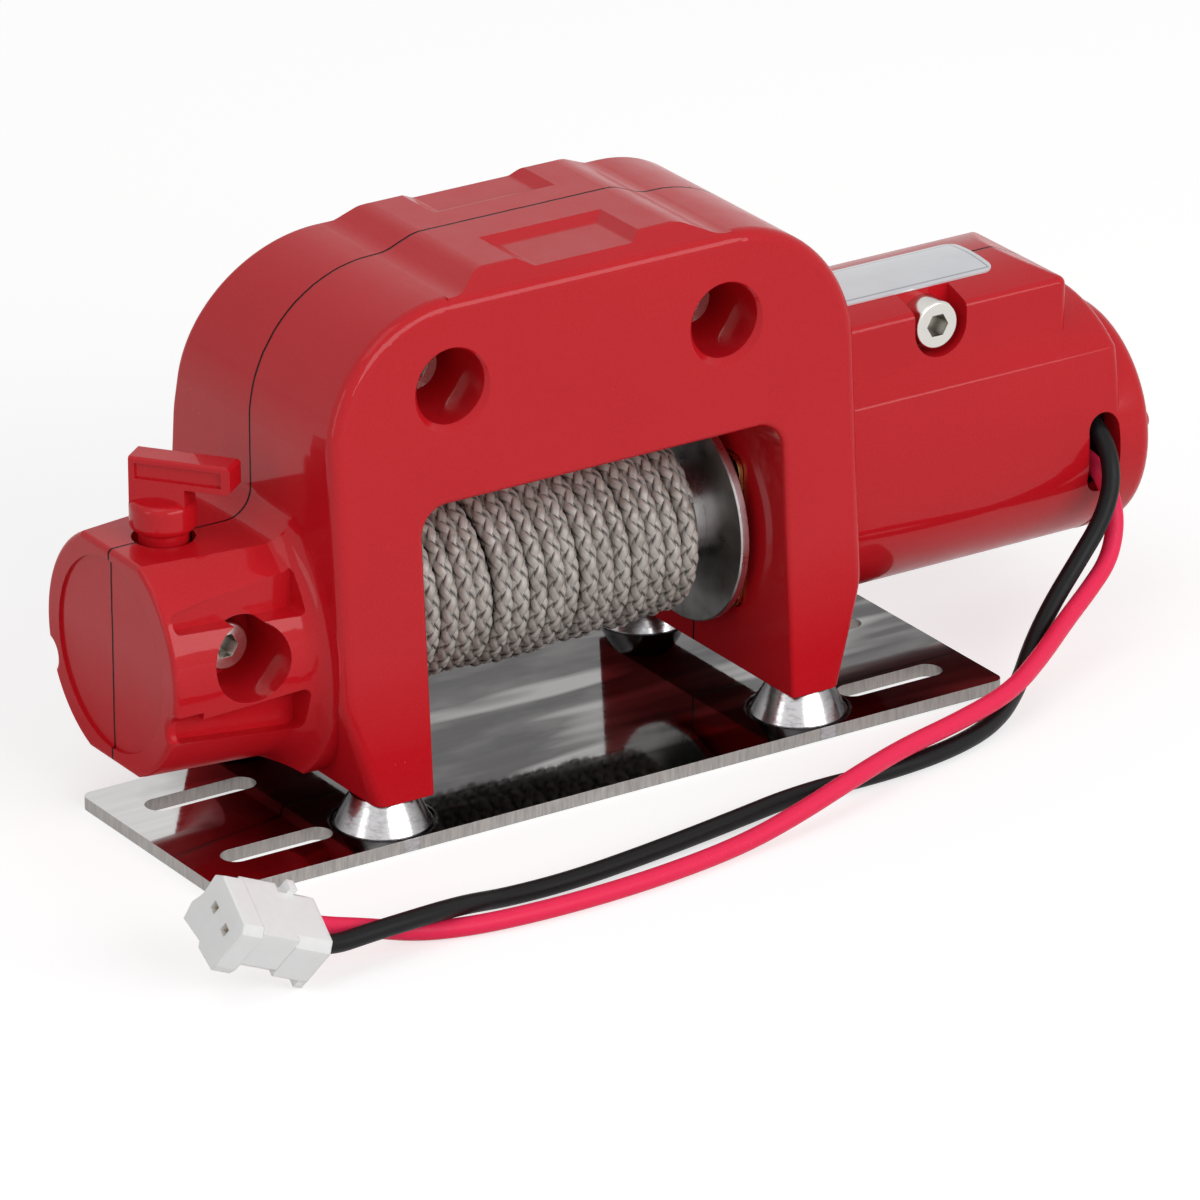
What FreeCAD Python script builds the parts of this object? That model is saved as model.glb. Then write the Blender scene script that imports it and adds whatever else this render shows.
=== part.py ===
"""Small electric drum winch on a slotted mounting plate, in millimetres.

X runs along the drum from the clutch end to the motor end, the window side faces -Y and Z is up.
The origin lies under the plate, at the middle of its length and on the seam of the two housings.
"""
import FreeCAD, Part
import math
import os

V = FreeCAD.Vector

# Mounting plate
plate_length = 82.0
plate_thickness = 1.2
plate_front = -17.3
plate_end_depth = 23.8
plate_middle_depth = 34.6
plate_middle_length = 57.0
plate_corner_radius = 1.0
slot_length = 10.9
slot_width = 2.7
slot_spacing_x = 64.4
slot_spacing_y = 12.7
slot_edge_distance = 5.4

# Pressed feet that carry the legs
foot_spacing_x = 43.6
foot_spacing_y = 25.0
dome_base_diameter = 8.6
dome_top_diameter = 5.7
dome_bulge = 0.08
dome_height = 2.8
dome_wall = 0.8
ring_diameter = 9.4
ring_width = 0.3
ring_depth = 0.2
foot_screw_diameter = 2.0
foot_screw_length = 8.0
foot_head_diameter = 3.6
foot_head_height = 1.2

# Arch of the housing
axis_height = 16.9
arch_height = 48.0
arch_width = 54.2
arch_corner_radius = 12.5
arch_foot_width = 48.6
leg_taper_height = 9.0
leg_blend_radius = 8.0
face_depth_foot = 15.8
face_depth_top = 12.7
face_edge_radius = 1.2
rear_knee_height = 32.5
rear_knee_depth = 13.15
rear_knee_radius = 12.0
rear_top_depth = 9.3
rear_edge_radius = 0.5
window_width = 37.4
window_shift = 0.3
window_height = 29.8
window_corner_radius = 2.6
window_edge_radius = 0.5
pad_height = 1.2
pad_length = 20.6
pad_ramp = 3.0
pad_blend_radius = 4.0
pad_foot = 1.3
pad_edge_radius = 0.8
pad_depth = 10.0
pad_slope = 2.3
pad_rear_depth = 8.5
pad_rear_slope = 0.25
pad_rear_edge_radius = 0.4
pocket_length = 10.0
pocket_start = 5.4
rear_pocket_start = 4.4
pocket_depth = 0.6
pocket_wall = 1.3
pocket_floor_radius = 0.8

# Clutch case
case_end = -41.4
case_end_radius = 10.9
case_root_radius = 11.8
case_rise = 9.8
case_drop_end = 10.0
case_drop_root = 11.7
case_top = axis_height + case_rise
case_bottom_end = axis_height - case_drop_end
case_bottom_root = axis_height - case_drop_root
case_edge_radius = 0.5
case_root_fillet = 2.6
disc_radius = 8.8
disc_depth = 0.25
scallop_angle = -19.0
scallop_radius = 1.6
scallop_depth = 0.9
side_pocket_floor = 8.6
side_pocket_rim = 0.8
upper_pocket_end = (5.0, 6.5)
upper_pocket_root = (4.5, 8.4)
lower_pocket_end = (-5.0, -3.0)
lower_pocket_root = (-6.4, -2.0)
side_pocket_length = 12.2

# Motor case
motor_case_end = 62.0
motor_case_radius = 10.4
shoulder_radius = 13.7
shoulder_half_width = 9.35
shoulder_end = 58.8
shoulder_edge_radius = 0.6
shoulder_end_radius = 0.9
motor_cap_length = 4.2
motor_cap_rise = 0.4
motor_case_edge_radius = 1.4
motor_bore_radius = 8.6
motor_bore_end = 60.6
nub_diameter = 1.9
nub_height = 0.4
nub_offset = 8.4
nub_rise = 1.8
box_end = 54.6
box_top_radius = 18.1
box_half_width = 7.2
box_end_slope = 3.4
box_end_drop = 1.6
box_edge_radius = 0.8
wire_slot_x = 56.6
wire_slot_width = 3.2
wire_slot_height = 7.8
wire_slot_rise = 0.3
wire_slot_z = axis_height + wire_slot_rise
label_start = 28.4
label_length = 20.4
label_front = 4.1
label_rear = 3.0
label_thickness = 0.15
label_corner_radius = 1.2

# Housing screws
screw_diameter = 2.5
screw_head_diameter = 4.5
screw_head_height = 2.5
socket_across_flats = 2.0
socket_depth = 1.4
screw_length = 10.0
face_hole_diameter = 6.9
face_hole_spacing = 28.2
face_hole_shift = -0.7
face_hole_height = 40.2
face_screw_seat = 5.0
face_hole_chamfer = 0.35
case_screw_x = -33.8
case_screw_rise = 1.4
case_screw_seat = 4.2
case_hole_diameter = 7.2
box_screw_x = 40.6
box_screw_rise = 14.9
box_screw_seat = 4.2
box_hole_diameter = 5.6
rear_screw_spacing = 45.4
rear_screw_height = 28.3
rear_screw_seat = 13.0
rear_screw_length = 18.0
rear_seat_diameter = 5.4
case_screw_z = axis_height + case_screw_rise
box_screw_z = axis_height + box_screw_rise

# Drum, rope and shaft
drum_left = -17.9
drum_right = 18.2
flange_thickness = 0.9
flange_radius = 10.1
barrel_radius = 4.5
shaft_radius = 2.0
rope_diameter = 1.35
rope_pitch = 1.8
rope_turns = 17.25
rope_start = -16.1
rope_start_angle = 60.0
rope_path_radius = 8.05
rope_core_gap = 0.05
hub_radius = 3.4
hub_end = -26.4
bush_radius = 4.6
bush_wall_gap = 0.1
bearing_plate_width = 15.6
bearing_plate_height = 14.6
bearing_plate_thickness = 1.0
bearing_plate_radius = 1.6
bearing_plate_gap = 0.35

# Free-spool clutch
stem_x = -35.9
stem_radius = 2.2
stem_well_radius = 2.8
stem_well_depth = 1.1
stem_flange_radius = 2.9
stem_flange_rise = 7.2
stem_flange_height = 1.1
cam_offset = 0.9
cam_pin_radius = 0.6
cam_pin_length = 1.5
lever_angle = -51.8
lever_travel = 90.0
collar_lift = 0.75
collar_radius = 2.95
collar_height = 2.9
collar_edge_radius = 0.7
block_rear = 2.6
block_front = 2.5
block_height = 1.4
bar_front = 6.7
bar_width = 2.7
bar_height = 2.5
bar_chamfer = 0.3
bar_edge_radius = 0.25
panel_margin = 0.55
panel_depth = 0.3
fork_thickness = 1.0
fork_width = 4.2
fork_plate_rise = 4.7
fork_prong_drop = 1.5
fork_prong_width = 7.0
dog_length = 1.0
dog_width = 1.4
dog_radius = 3.3
dog_body_length = 3.3
groove_radius = 2.6
shaft_flats = 3.2
shaft_left = -31.4
stem_flange_top = axis_height + stem_flange_rise
fork_plate_bottom = axis_height + fork_plate_rise
fork_prong_bottom = axis_height - fork_prong_drop

# Two-stage planetary gearbox
module = 0.35
sun_teeth = 12
planet_teeth = 15
planet_count = 3
tooth_backlash = 0.12
gear_face_width = 3.0
carrier_thickness = 1.2
carrier_radius = 6.9
pin_radius = 0.6
ring_outer_radius = 8.5
gearbox_start = 27.4
gearbox_plate_thickness = 1.0
stage_gap = 0.3

# Motor
motor_shaft_radius = 1.0
can_length = 15.4
can_radius = 8.2
can_wall = 0.5
end_bell_length = 1.4
armature_radius = 5.4
armature_length = 9.0
armature_slots = 5
armature_slot_orbit = 4.2
armature_slot_radius = 1.0
magnet_thickness = 1.6
commutator_radius = 1.9
commutator_length = 2.2
motor_bearing_radius = 2.5
terminal_width = 1.8
terminal_reach = 2.2
terminal_spacing = 3.9
terminal_rise = 0.75
terminal_face = 5.6
terminal_thickness = 0.6

# Wires and plug
wire_diameter = 1.7
wire_lead = 2.0
plug_length = 9.8
plug_pitch = 2.5
plug_wire_end = (-42.6, -34.3, 4.0)
plug_heading = 182.0
plug_pitch_angle = 24.0
plug_roll = -28.4
plug_bore = 1.9
plug_bore_depth = 3.0
plug_contact_size = 0.6
plug_contact_gap = 0.12
plug_contact_wall = 0.15
plug_contact_root = 2.0
plug_contact_recess = 0.6
plug_nose_length = 2.1
plug_nose_chamfer = 0.15
plug_nose_outline = [(-3.3, -3.7), (-3.8, -2.1), (-3.4, -0.6), (-3.7, 1.4), (-2.8, 2.3), (2.6, 2.3),
                     (3.2, 1.6), (3.2, -2.4), (2.9, -3.2), (0.2, -3.5), (-0.2, -3.1)]
plug_waist_outline = [(-3.4, -2.4), (-3.4, 2.0), (3.1, 2.0), (3.1, -1.7), (2.5, -2.4)]
plug_flange_length = 3.8
plug_flange_outline = [(-3.1, -2.4), (-3.4, 1.2), (-2.4, 2.0), (2.4, 2.0), (3.15, 1.2), (3.15, -2.4)]
plug_foot_length = 0.9
plug_foot_start = 1.6
plug_foot_end = 3.1
plug_foot_bottom = -3.2
plug_rib_start = 2.2
plug_rib_length = 0.8
plug_rib_left = -3.5
plug_rib_right = -2.4
plug_rib_top = 2.6

# Clearances
press_gap = 0.02
running_gap = 0.05
side_gap = 0.1
thread_gap = 0.03

leg_bottom = plate_thickness + dome_height
sun_radius = module * sun_teeth / 2
planet_radius = module * planet_teeth / 2
planet_orbit = sun_radius + planet_radius
ring_teeth = sun_teeth + 2 * planet_teeth
bearing_plate_face = drum_right + bearing_plate_gap


def box(x0, x1, y0, y1, z0, z1):
    return Part.makeBox(x1 - x0, y1 - y0, z1 - z0, V(x0, y0, z0))


def rod_x(x0, x1, radius, y=0.0, z=axis_height):
    return Part.makeCylinder(radius, x1 - x0, V(x0, y, z), V(1, 0, 0))


def rod_y(y0, y1, radius, x, z):
    return Part.makeCylinder(radius, y1 - y0, V(x, y0, z), V(0, 1, 0))


def rod_z(z0, z1, radius, x, y=0.0):
    return Part.makeCylinder(radius, z1 - z0, V(x, y, z0), V(0, 0, 1))


def tube_x(x0, x1, outer, inner):
    return rod_x(x0, x1, outer).cut(rod_x(x0, x1, inner))


def rounded_wire(corners, place):
    """Closed outline through (a, b, radius) corners, each rounded by a tangent arc."""
    edges = []
    count = len(corners)
    ends = []
    for i in range(count):
        a, b, radius = corners[i]
        here = V(a, b, 0)
        back = V(*corners[i - 1][:2], 0) - here
        ahead = V(*corners[(i + 1) % count][:2], 0) - here
        back.normalize()
        ahead.normalize()
        if radius <= 0:
            ends.append((here, here, here))
            continue
        half = back.getAngle(ahead) / 2
        reach = radius / math.tan(half)
        middle = back + ahead
        middle.normalize()
        centre = here + middle * (radius / math.sin(half))
        ends.append((here + back * reach, centre - middle * radius, here + ahead * reach))
    for i in range(count):
        start, middle, end = ends[i]
        if (end - start).Length > 1e-6:
            edges.append(Part.Arc(place(start), place(middle), place(end)).toShape())
        following = ends[(i + 1) % count][0]
        if (following - end).Length > 1e-6:
            edges.append(Part.LineSegment(place(end), place(following)).toShape())
    return Part.Wire(edges)


def sheet_xz(corners, y0, y1):
    """Solid between y0 and y1 whose outline in the XZ plane has rounded corners."""
    wire = rounded_wire(corners, lambda p: V(p.x, y0, p.y))
    return Part.Face(wire).extrude(V(0, y1 - y0, 0))


def sheet_yz(corners, x0, x1):
    wire = rounded_wire(corners, lambda p: V(x0, p.x, p.y))
    return Part.Face(wire).extrude(V(x1 - x0, 0, 0))


def sheet_xy(corners, z0, z1):
    wire = rounded_wire(corners, lambda p: V(p.x, p.y, z0))
    return Part.Face(wire).extrude(V(0, 0, z1 - z0))


def edges_where(shape, test):
    """Edges whose two ends and middle all pass the test."""
    found = []
    for edge in shape.Edges:
        middle = edge.valueAt((edge.FirstParameter + edge.LastParameter) / 2)
        points = [vertex.Point for vertex in edge.Vertexes] + [middle]
        if all(test(p) for p in points):
            found.append(edge)
    return found


def fuse_all(shapes):
    return shapes[0].multiFuse(shapes[1:]) if len(shapes) > 1 else shapes[0]


def polyline(points):
    return [Part.LineSegment(a, b).toShape() for a, b in zip(points, points[1:])]


# Mounting plate and its screws

def foot_places():
    half_x, half_y = foot_spacing_x / 2, foot_spacing_y / 2
    return [(x, y) for x in (-half_x, half_x) for y in (-half_y, half_y)]


def slot_places():
    front = plate_front + slot_edge_distance
    half = slot_spacing_x / 2
    return [(x, y) for x in (-half, half) for y in (front, front + slot_spacing_y)]


def foot_dome(x, y):
    """Round foot with a bulging flank, between the plate's top and the bottom of a leg."""
    base, top = dome_base_diameter / 2, dome_top_diameter / 2
    middle = V(x + (base + top) / 2 + dome_bulge, y, (plate_thickness + leg_bottom) / 2)
    low, high = V(x + base, y, plate_thickness), V(x + top, y, leg_bottom)
    flank = Part.Arc(low, middle, high).toShape()
    rest = polyline([high, V(x, y, leg_bottom), V(x, y, plate_thickness), low])
    return Part.Face(Part.Wire([flank] + rest)).revolve(V(x, y, 0), V(0, 0, 1), 360)


def mounting_plate():
    half = plate_length / 2
    middle = plate_middle_length / 2
    rear_end = plate_front + plate_end_depth
    rear = plate_front + plate_middle_depth
    r = plate_corner_radius
    outline = [(-half, plate_front, r), (half, plate_front, r), (half, rear_end, r),
               (middle, rear_end, r), (middle, rear, r), (-middle, rear, r),
               (-middle, rear_end, r), (-half, rear_end, r)]
    plate = sheet_xy(outline, 0.0, plate_thickness)
    end = (slot_length - slot_width) / 2
    cutters = []
    for x, y in slot_places():
        corner = slot_width / 2 - 0.001
        cutters.append(sheet_xy([(x - end - slot_width / 2, y - slot_width / 2, corner),
                                 (x + end + slot_width / 2, y - slot_width / 2, corner),
                                 (x + end + slot_width / 2, y + slot_width / 2, corner),
                                 (x - end - slot_width / 2, y + slot_width / 2, corner)],
                                -1.0, plate_thickness + 1.0))
    base, top = dome_base_diameter / 2, dome_top_diameter / 2
    lean = (base - top) / dome_height
    domes = []
    for x, y in foot_places():
        domes.append(foot_dome(x, y))
        inner_height = leg_bottom - dome_wall
        inner_top = top - dome_wall + lean * dome_wall
        cutters.append(Part.makeCone(inner_top + lean * inner_height, inner_top, inner_height, V(x, y, 0)))
        cutters.append(rod_z(0.0, leg_bottom + 1.0, foot_screw_diameter / 2 + thread_gap, x, y))
        outer_ring = rod_z(plate_thickness - ring_depth, plate_thickness + 0.5, ring_diameter / 2, x, y)
        inner = rod_z(0.0, plate_thickness + 1.0, ring_diameter / 2 - ring_width, x, y)
        cutters.append(outer_ring.cut(inner))
    return plate.multiFuse(domes).removeSplitter().cut(Part.makeCompound(cutters))


def foot_screws():
    screws = []
    seat = leg_bottom - dome_wall
    for x, y in foot_places():
        head = rod_z(seat - foot_head_height, seat, foot_head_diameter / 2, x, y)
        low = edges_where(head, lambda p: p.z < seat - foot_head_height + 0.01)
        head = head.makeFillet(foot_head_height * 0.3, low)
        shank = rod_z(seat, seat + foot_screw_length, foot_screw_diameter / 2, x, y)
        socket = hexagon(V(x, y, seat - foot_head_height), V(0, 0, 1), foot_screw_diameter * 0.65,
                         foot_head_height * 0.6)
        screws.append(head.fuse(shank).removeSplitter().cut(socket))
    return Part.makeCompound(screws)


def hexagon(centre, direction, across_flats, depth):
    """Hexagonal prism that starts at centre and runs along direction."""
    radius = across_flats / math.sqrt(3)
    points = [V(radius * math.cos(math.radians(60 * i)), radius * math.sin(math.radians(60 * i)), 0)
              for i in range(7)]
    prism = Part.Face(Part.makePolygon(points)).extrude(V(0, 0, depth))
    prism.Placement = FreeCAD.Placement(centre, FreeCAD.Rotation(V(0, 0, 1), direction))
    return prism


# Housing castings

def between(z, low, low_depth, high, high_depth):
    return low_depth + (high_depth - low_depth) * (z - low) / (high - low)


def face_depth(z):
    """Distance of the leaning front face from the seam at height z."""
    return between(z, leg_bottom, face_depth_foot, arch_height, face_depth_top)


def rear_depth(z):
    """Distance of the rear face from the seam at height z; above its knee it leans further."""
    if z < rear_knee_height:
        return between(z, leg_bottom, face_depth_foot, rear_knee_height, rear_knee_depth)
    return between(z, rear_knee_height, rear_knee_depth, arch_height, rear_top_depth)


def on_front(p):
    return abs(-p.y - face_depth(p.z)) < 0.01


def on_rear(p):
    """True near the rear face, with room for the rounding of its knee."""
    return abs(p.y - rear_depth(p.z)) < 0.06


def arch():
    half, foot = arch_width / 2, arch_foot_width / 2
    knee = leg_bottom + leg_taper_height
    outline = [(-foot, leg_bottom, 0), (-half, knee, leg_blend_radius),
               (-half, arch_height, arch_corner_radius), (half, arch_height, arch_corner_radius),
               (half, knee, leg_blend_radius), (foot, leg_bottom, 0)]
    reach = face_depth_foot + 2.0
    body = sheet_xz(outline, -reach, reach)
    over = arch_height + 5.0
    body = body.common(sheet_yz([(-face_depth_foot, leg_bottom, 0), (face_depth_foot, leg_bottom, 0),
                                 (rear_knee_depth, rear_knee_height, rear_knee_radius),
                                 (rear_depth(over), over, 0), (-face_depth(over), over, 0)],
                                -half - 1, half + 1))
    for test, radius in ((on_front, face_edge_radius), (on_rear, rear_edge_radius)):
        rim = [e for e in edges_where(body, test) if e.BoundBox.ZMax > leg_bottom + 0.01
               and e.BoundBox.XLength < arch_width - 2 * arch_corner_radius + 0.1]
        body = body.makeFillet(radius, rim)
    return body


def pad():
    """Raised pad on the crown, with ramps at both ends and a shallow pocket towards each face."""
    half = pad_length / 2
    foot = half + pad_ramp
    end = foot + pad_foot
    top, low = arch_height + pad_height, arch_height - 1.0
    r = pad_blend_radius
    profile = [(-end, low, 0), (-end, arch_height, 0), (-foot, arch_height, r), (-half, top, r),
               (half, top, r), (foot, arch_height, r), (end, arch_height, 0), (end, low, 0)]
    side, rear = pad_depth + pad_slope, pad_rear_depth + pad_rear_slope
    across = [(-side, low, 0), (-side, arch_height, 0), (-pad_depth, top, pad_edge_radius),
              (pad_rear_depth, top, pad_rear_edge_radius), (rear, arch_height, 0), (rear, low, 0)]
    body = sheet_xz(profile, -side, side).common(sheet_yz(across, -end - 1, end + 1))
    for sign, start in ((-1, pocket_start), (1, rear_pocket_start)):
        body = body.cut(pad_pocket(sign, start, top, side))
    return body


def pad_pocket(sign, start, top, side):
    """Recess with sloping walls, open towards the face on the side of sign."""
    floor, over = top - pocket_depth, top + pocket_depth
    half, run = pocket_length / 2, 2 * pocket_wall
    r = pocket_floor_radius
    along = sheet_xz([(-half, floor, r), (half, floor, r), (half + run, over, 0), (-half - run, over, 0)],
                     -side - 1, side + 1)
    y = sign * start
    out = sign * (side + 1)
    span = half + run
    return along.common(sheet_yz([(y, floor, r), (out, floor, 0), (out, over, 0), (y - sign * run, over, 0)],
                                 -span, span))


def flare_edges(x, r, place):
    """Quarter arc that turns from the case's side out into the arch's side wall."""
    low = math.sqrt(0.5)
    middle = (x - case_root_fillet * (1 - low), r + case_root_fillet * (1 - low))
    return Part.Arc(place(x - case_root_fillet, r), place(*middle), place(x, r + case_root_fillet)).toShape()


def clutch_case():
    root = -arch_width / 2
    inside = root + (arch_width - arch_foot_width) / 2 + 2.0
    slope = (case_root_radius - case_end_radius) / (root - case_end)
    body = Part.makeCone(case_end_radius, case_end_radius + slope * (inside - case_end), inside - case_end,
                         V(case_end, 0, axis_height), V(1, 0, 0))
    rim = edges_where(body, lambda p: p.x < case_end + 0.01)
    start = case_end_radius + slope * (root - case_root_fillet - case_end)

    def around(x, r):
        return V(x, r, axis_height)

    skirt = polyline([around(root, start + case_root_fillet), around(inside, start + case_root_fillet),
                      around(inside, 0), around(root - case_root_fillet, 0),
                      around(root - case_root_fillet, start)])
    skirt = Part.Face(Part.Wire([flare_edges(root, start, around)] + skirt))
    body = body.fuse(skirt.revolve(around(0, 0), V(1, 0, 0), 360))

    def upright(x, z):
        return V(x, -30, z)

    fall = (case_bottom_root - case_bottom_end) / (root - case_end) * (inside - case_end)
    flare_top = case_top + case_root_fillet
    keep = polyline([upright(root, flare_top), upright(inside, flare_top),
                     upright(inside, case_bottom_end + fall), upright(case_end - 1, case_bottom_end),
                     upright(case_end - 1, case_top), upright(root - case_root_fillet, case_top)])
    keep = Part.Face(Part.Wire([flare_edges(root, case_top, upright)] + keep))
    body = body.common(keep.extrude(V(0, 60, 0)))
    angle = math.radians(scallop_angle)
    reach = case_end_radius + scallop_radius - scallop_depth
    for sign in (-1, 1):
        y, z = sign * reach * math.cos(angle), axis_height + reach * math.sin(angle)
        groove = rod_x(case_end - 1, case_end + side_pocket_rim + 2.0, scallop_radius, y, z)
        body = body.cut(groove)
    rim = edges_where(body, lambda p: p.x < case_end + 0.01)
    return body.makeFillet(case_edge_radius, rim)


def side_pockets():
    """Tapering recesses beside the screw boss, on both sides of the clutch case."""
    x0 = case_end + side_pocket_rim
    x1 = x0 + side_pocket_length
    cutters = []
    for end, root in ((upper_pocket_end, upper_pocket_root), (lower_pocket_end, lower_pocket_root)):
        z0, z1, z2, z3 = [axis_height + rise for rise in (*end, *root)]
        corners = [(x0, z0, 0.5), (x1, z2, 0.6), (x1, z3, 0.6), (x0, z1, 0.5)]
        cutters.append(sheet_xz(corners, -20, -side_pocket_floor))
        cutters.append(sheet_xz(corners, side_pocket_floor, 20))
    return cutters


def motor_profile():
    """Outline of the motor case: round below, with upright sides and a wider round shoulder above."""
    x = arch_width / 2 - 2.0
    y, r = shoulder_half_width, motor_case_radius
    rise = math.sqrt(shoulder_radius ** 2 - y ** 2)
    bulge = (rise ** 2 - (r - y) ** 2) / (2 * (r - y)) + (r - y)
    half = math.asin(rise / bulge) / 2
    middle = r - bulge * (1 - math.cos(half)), bulge * math.sin(half)

    def at(y, z):
        return V(x, y, axis_height + z)

    edges = [Part.Arc(at(-y, rise), at(0, shoulder_radius), at(y, rise)),
             Part.Arc(at(y, rise), at(*middle), at(r, 0)),
             Part.Arc(at(r, 0), at(0, -r), at(-r, 0)),
             Part.Arc(at(-r, 0), at(-middle[0], middle[1]), at(-y, rise))]
    return Part.Face(Part.Wire([e.toShape() for e in edges]))


def motor_box():
    """Box on top of the motor case, with a curved top that slopes at its end."""
    start = arch_width / 2 - 2.0
    half, foot = box_half_width, axis_height + box_half_width
    top = axis_height + math.sqrt(box_top_radius ** 2 - half ** 2)
    crest = axis_height + box_top_radius
    side = Part.Arc(V(start, -half, top), V(start, 0, crest), V(start, half, top)).toShape()
    rest = polyline([V(start, half, top), V(start, half, foot), V(start, -half, foot), V(start, -half, top)])
    body = Part.Face(Part.Wire([side] + rest)).extrude(V(box_end - start, 0, 0))
    slope_start = box_end - box_end_slope
    slope = Part.makePolygon([V(box_end + 0.1, -20, crest - box_end_drop), V(slope_start, -20, crest),
                              V(slope_start, -20, crest + 3), V(box_end + 0.1, -20, crest + 3),
                              V(box_end + 0.1, -20, crest - box_end_drop)])
    body = body.cut(Part.Face(slope).extrude(V(0, 40, 0)))
    edges = edges_where(body, lambda p: p.z > top - 2.5)
    edges += edges_where(body, lambda p: p.x > box_end - 0.01 and abs(p.y) > half - 0.01)
    return body.makeFillet(box_edge_radius, [e for e in edges if e.BoundBox.XMax > start + 1])


def motor_case():
    start = arch_width / 2 - 2.0
    shoulder = motor_profile().extrude(V(shoulder_end - start, 0, 0))
    ridges = edges_where(shoulder, lambda p: p.z > axis_height + 1 and abs(abs(p.y) - shoulder_half_width) < 0.01)
    shoulder = shoulder.makeFillet(shoulder_edge_radius, ridges)
    rim = edges_where(shoulder, lambda p: p.x > shoulder_end - 0.01)
    shoulder = shoulder.makeFillet(shoulder_end_radius, rim)
    barrel = rod_x(start, motor_case_end - 1, motor_case_radius)
    cap = rod_x(motor_case_end - motor_cap_length, motor_case_end, motor_case_radius + motor_cap_rise - 0.02,
                0.0, axis_height + motor_cap_rise)
    cap = cap.makeFillet(motor_case_edge_radius, edges_where(cap, lambda p: p.x > motor_case_end - 0.01))
    nub = rod_x(motor_case_end - 1, motor_case_end + nub_height, nub_diameter / 2, -nub_offset,
                axis_height + nub_rise)
    return fuse_all([shoulder, motor_box(), barrel, cap, nub])


def casting():
    """Both housing halves in one piece, before the window, bores and screw holes."""
    body = arch().fuse(clutch_case())
    body = body.fuse(pad()).fuse(motor_case()).removeSplitter()
    left = window_shift - window_width / 2
    right = window_shift + window_width / 2
    window = sheet_xz([(left, -5, 0), (right, -5, 0), (right, window_height, window_corner_radius),
                       (left, window_height, window_corner_radius)], -30, 30)
    body = body.cut(window)
    inner = edges_where(body, lambda p: left - 0.01 < p.x < right + 0.01 and p.z < window_height + 0.01
                        and (on_front(p) or on_rear(p)))
    inner = [e for e in inner if e.BoundBox.ZMax > leg_bottom + 0.01]
    body = body.makeFillet(window_edge_radius, inner)
    disc = rod_x(case_end - 1, case_end + disc_depth, disc_radius)
    return body.cut(Part.makeCompound(side_pockets() + [disc]))


def shared_cavities():
    """Bores and pockets that the two halves share across the seam."""
    window_left = window_shift - window_width / 2
    window_right = window_shift + window_width / 2
    bush_end = hub_end + 0.2
    cuts = [rod_x(bush_end, window_left + 1, bush_radius + press_gap)]
    cuts.append(rod_x(shaft_left - 0.2, bush_end + 0.05, dog_radius + 0.4))
    cuts += clutch_cavities()
    plate_back = bearing_plate_face + bearing_plate_thickness
    half_w = bearing_plate_width / 2 + side_gap
    half_h = bearing_plate_height / 2 + side_gap
    r = bearing_plate_radius
    corners = [(-half_w, axis_height - half_h, r), (half_w, axis_height - half_h, r),
               (half_w, axis_height + half_h, r), (-half_w, axis_height + half_h, r)]
    cuts.append(sheet_yz(corners, window_right - 1, plate_back + press_gap))
    cuts.append(rod_x(plate_back, gearbox_start + 0.5, bush_radius + press_gap))
    cuts.append(rod_x(gearbox_start, motor_bore_end, motor_bore_radius))
    for x, y in foot_places():
        seat = leg_bottom - dome_wall
        cuts.append(rod_z(seat, seat + foot_screw_length + 0.5, foot_screw_diameter / 2 + thread_gap, x, y))
    return Part.makeCompound(cuts)


def clutch_cavities():
    travel = fork_travel()
    flange_bottom = stem_flange_top - stem_flange_height
    plate_left, plate_right = fork_ends()
    cuts = [rod_z(flange_bottom - 0.1, stem_flange_top + side_gap, stem_flange_radius + side_gap, stem_x)]
    cuts.append(rod_z(stem_flange_top, case_top + 1, stem_radius + running_gap, stem_x))
    cuts.append(rod_z(case_top - stem_well_depth, case_top + 1, stem_well_radius, stem_x))
    half = fork_width / 2 + side_gap
    cuts.append(box(plate_left - travel - 0.3, plate_right + 0.3, -half, half, fork_plate_bottom - 0.3,
                    flange_bottom + 0.01))
    half = fork_prong_width / 2 + side_gap
    cuts.append(box(plate_right - fork_thickness - travel - 0.3, plate_right + 0.3, -half, half,
                    fork_prong_bottom - 0.3, flange_bottom))
    return cuts


def face_holes():
    return [face_hole_shift - face_hole_spacing / 2, face_hole_shift + face_hole_spacing / 2]


def screw_places():
    """Positions and seat depths of the four long screws that close the housing."""
    places = [(x, face_hole_height, face_screw_seat) for x in face_holes()]
    places.append((case_screw_x, case_screw_z, case_screw_seat))
    places.append((box_screw_x, box_screw_z, box_screw_seat))
    return places


def rear_screw_places():
    return [(-rear_screw_spacing / 2, rear_screw_height), (rear_screw_spacing / 2, rear_screw_height)]


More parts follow.
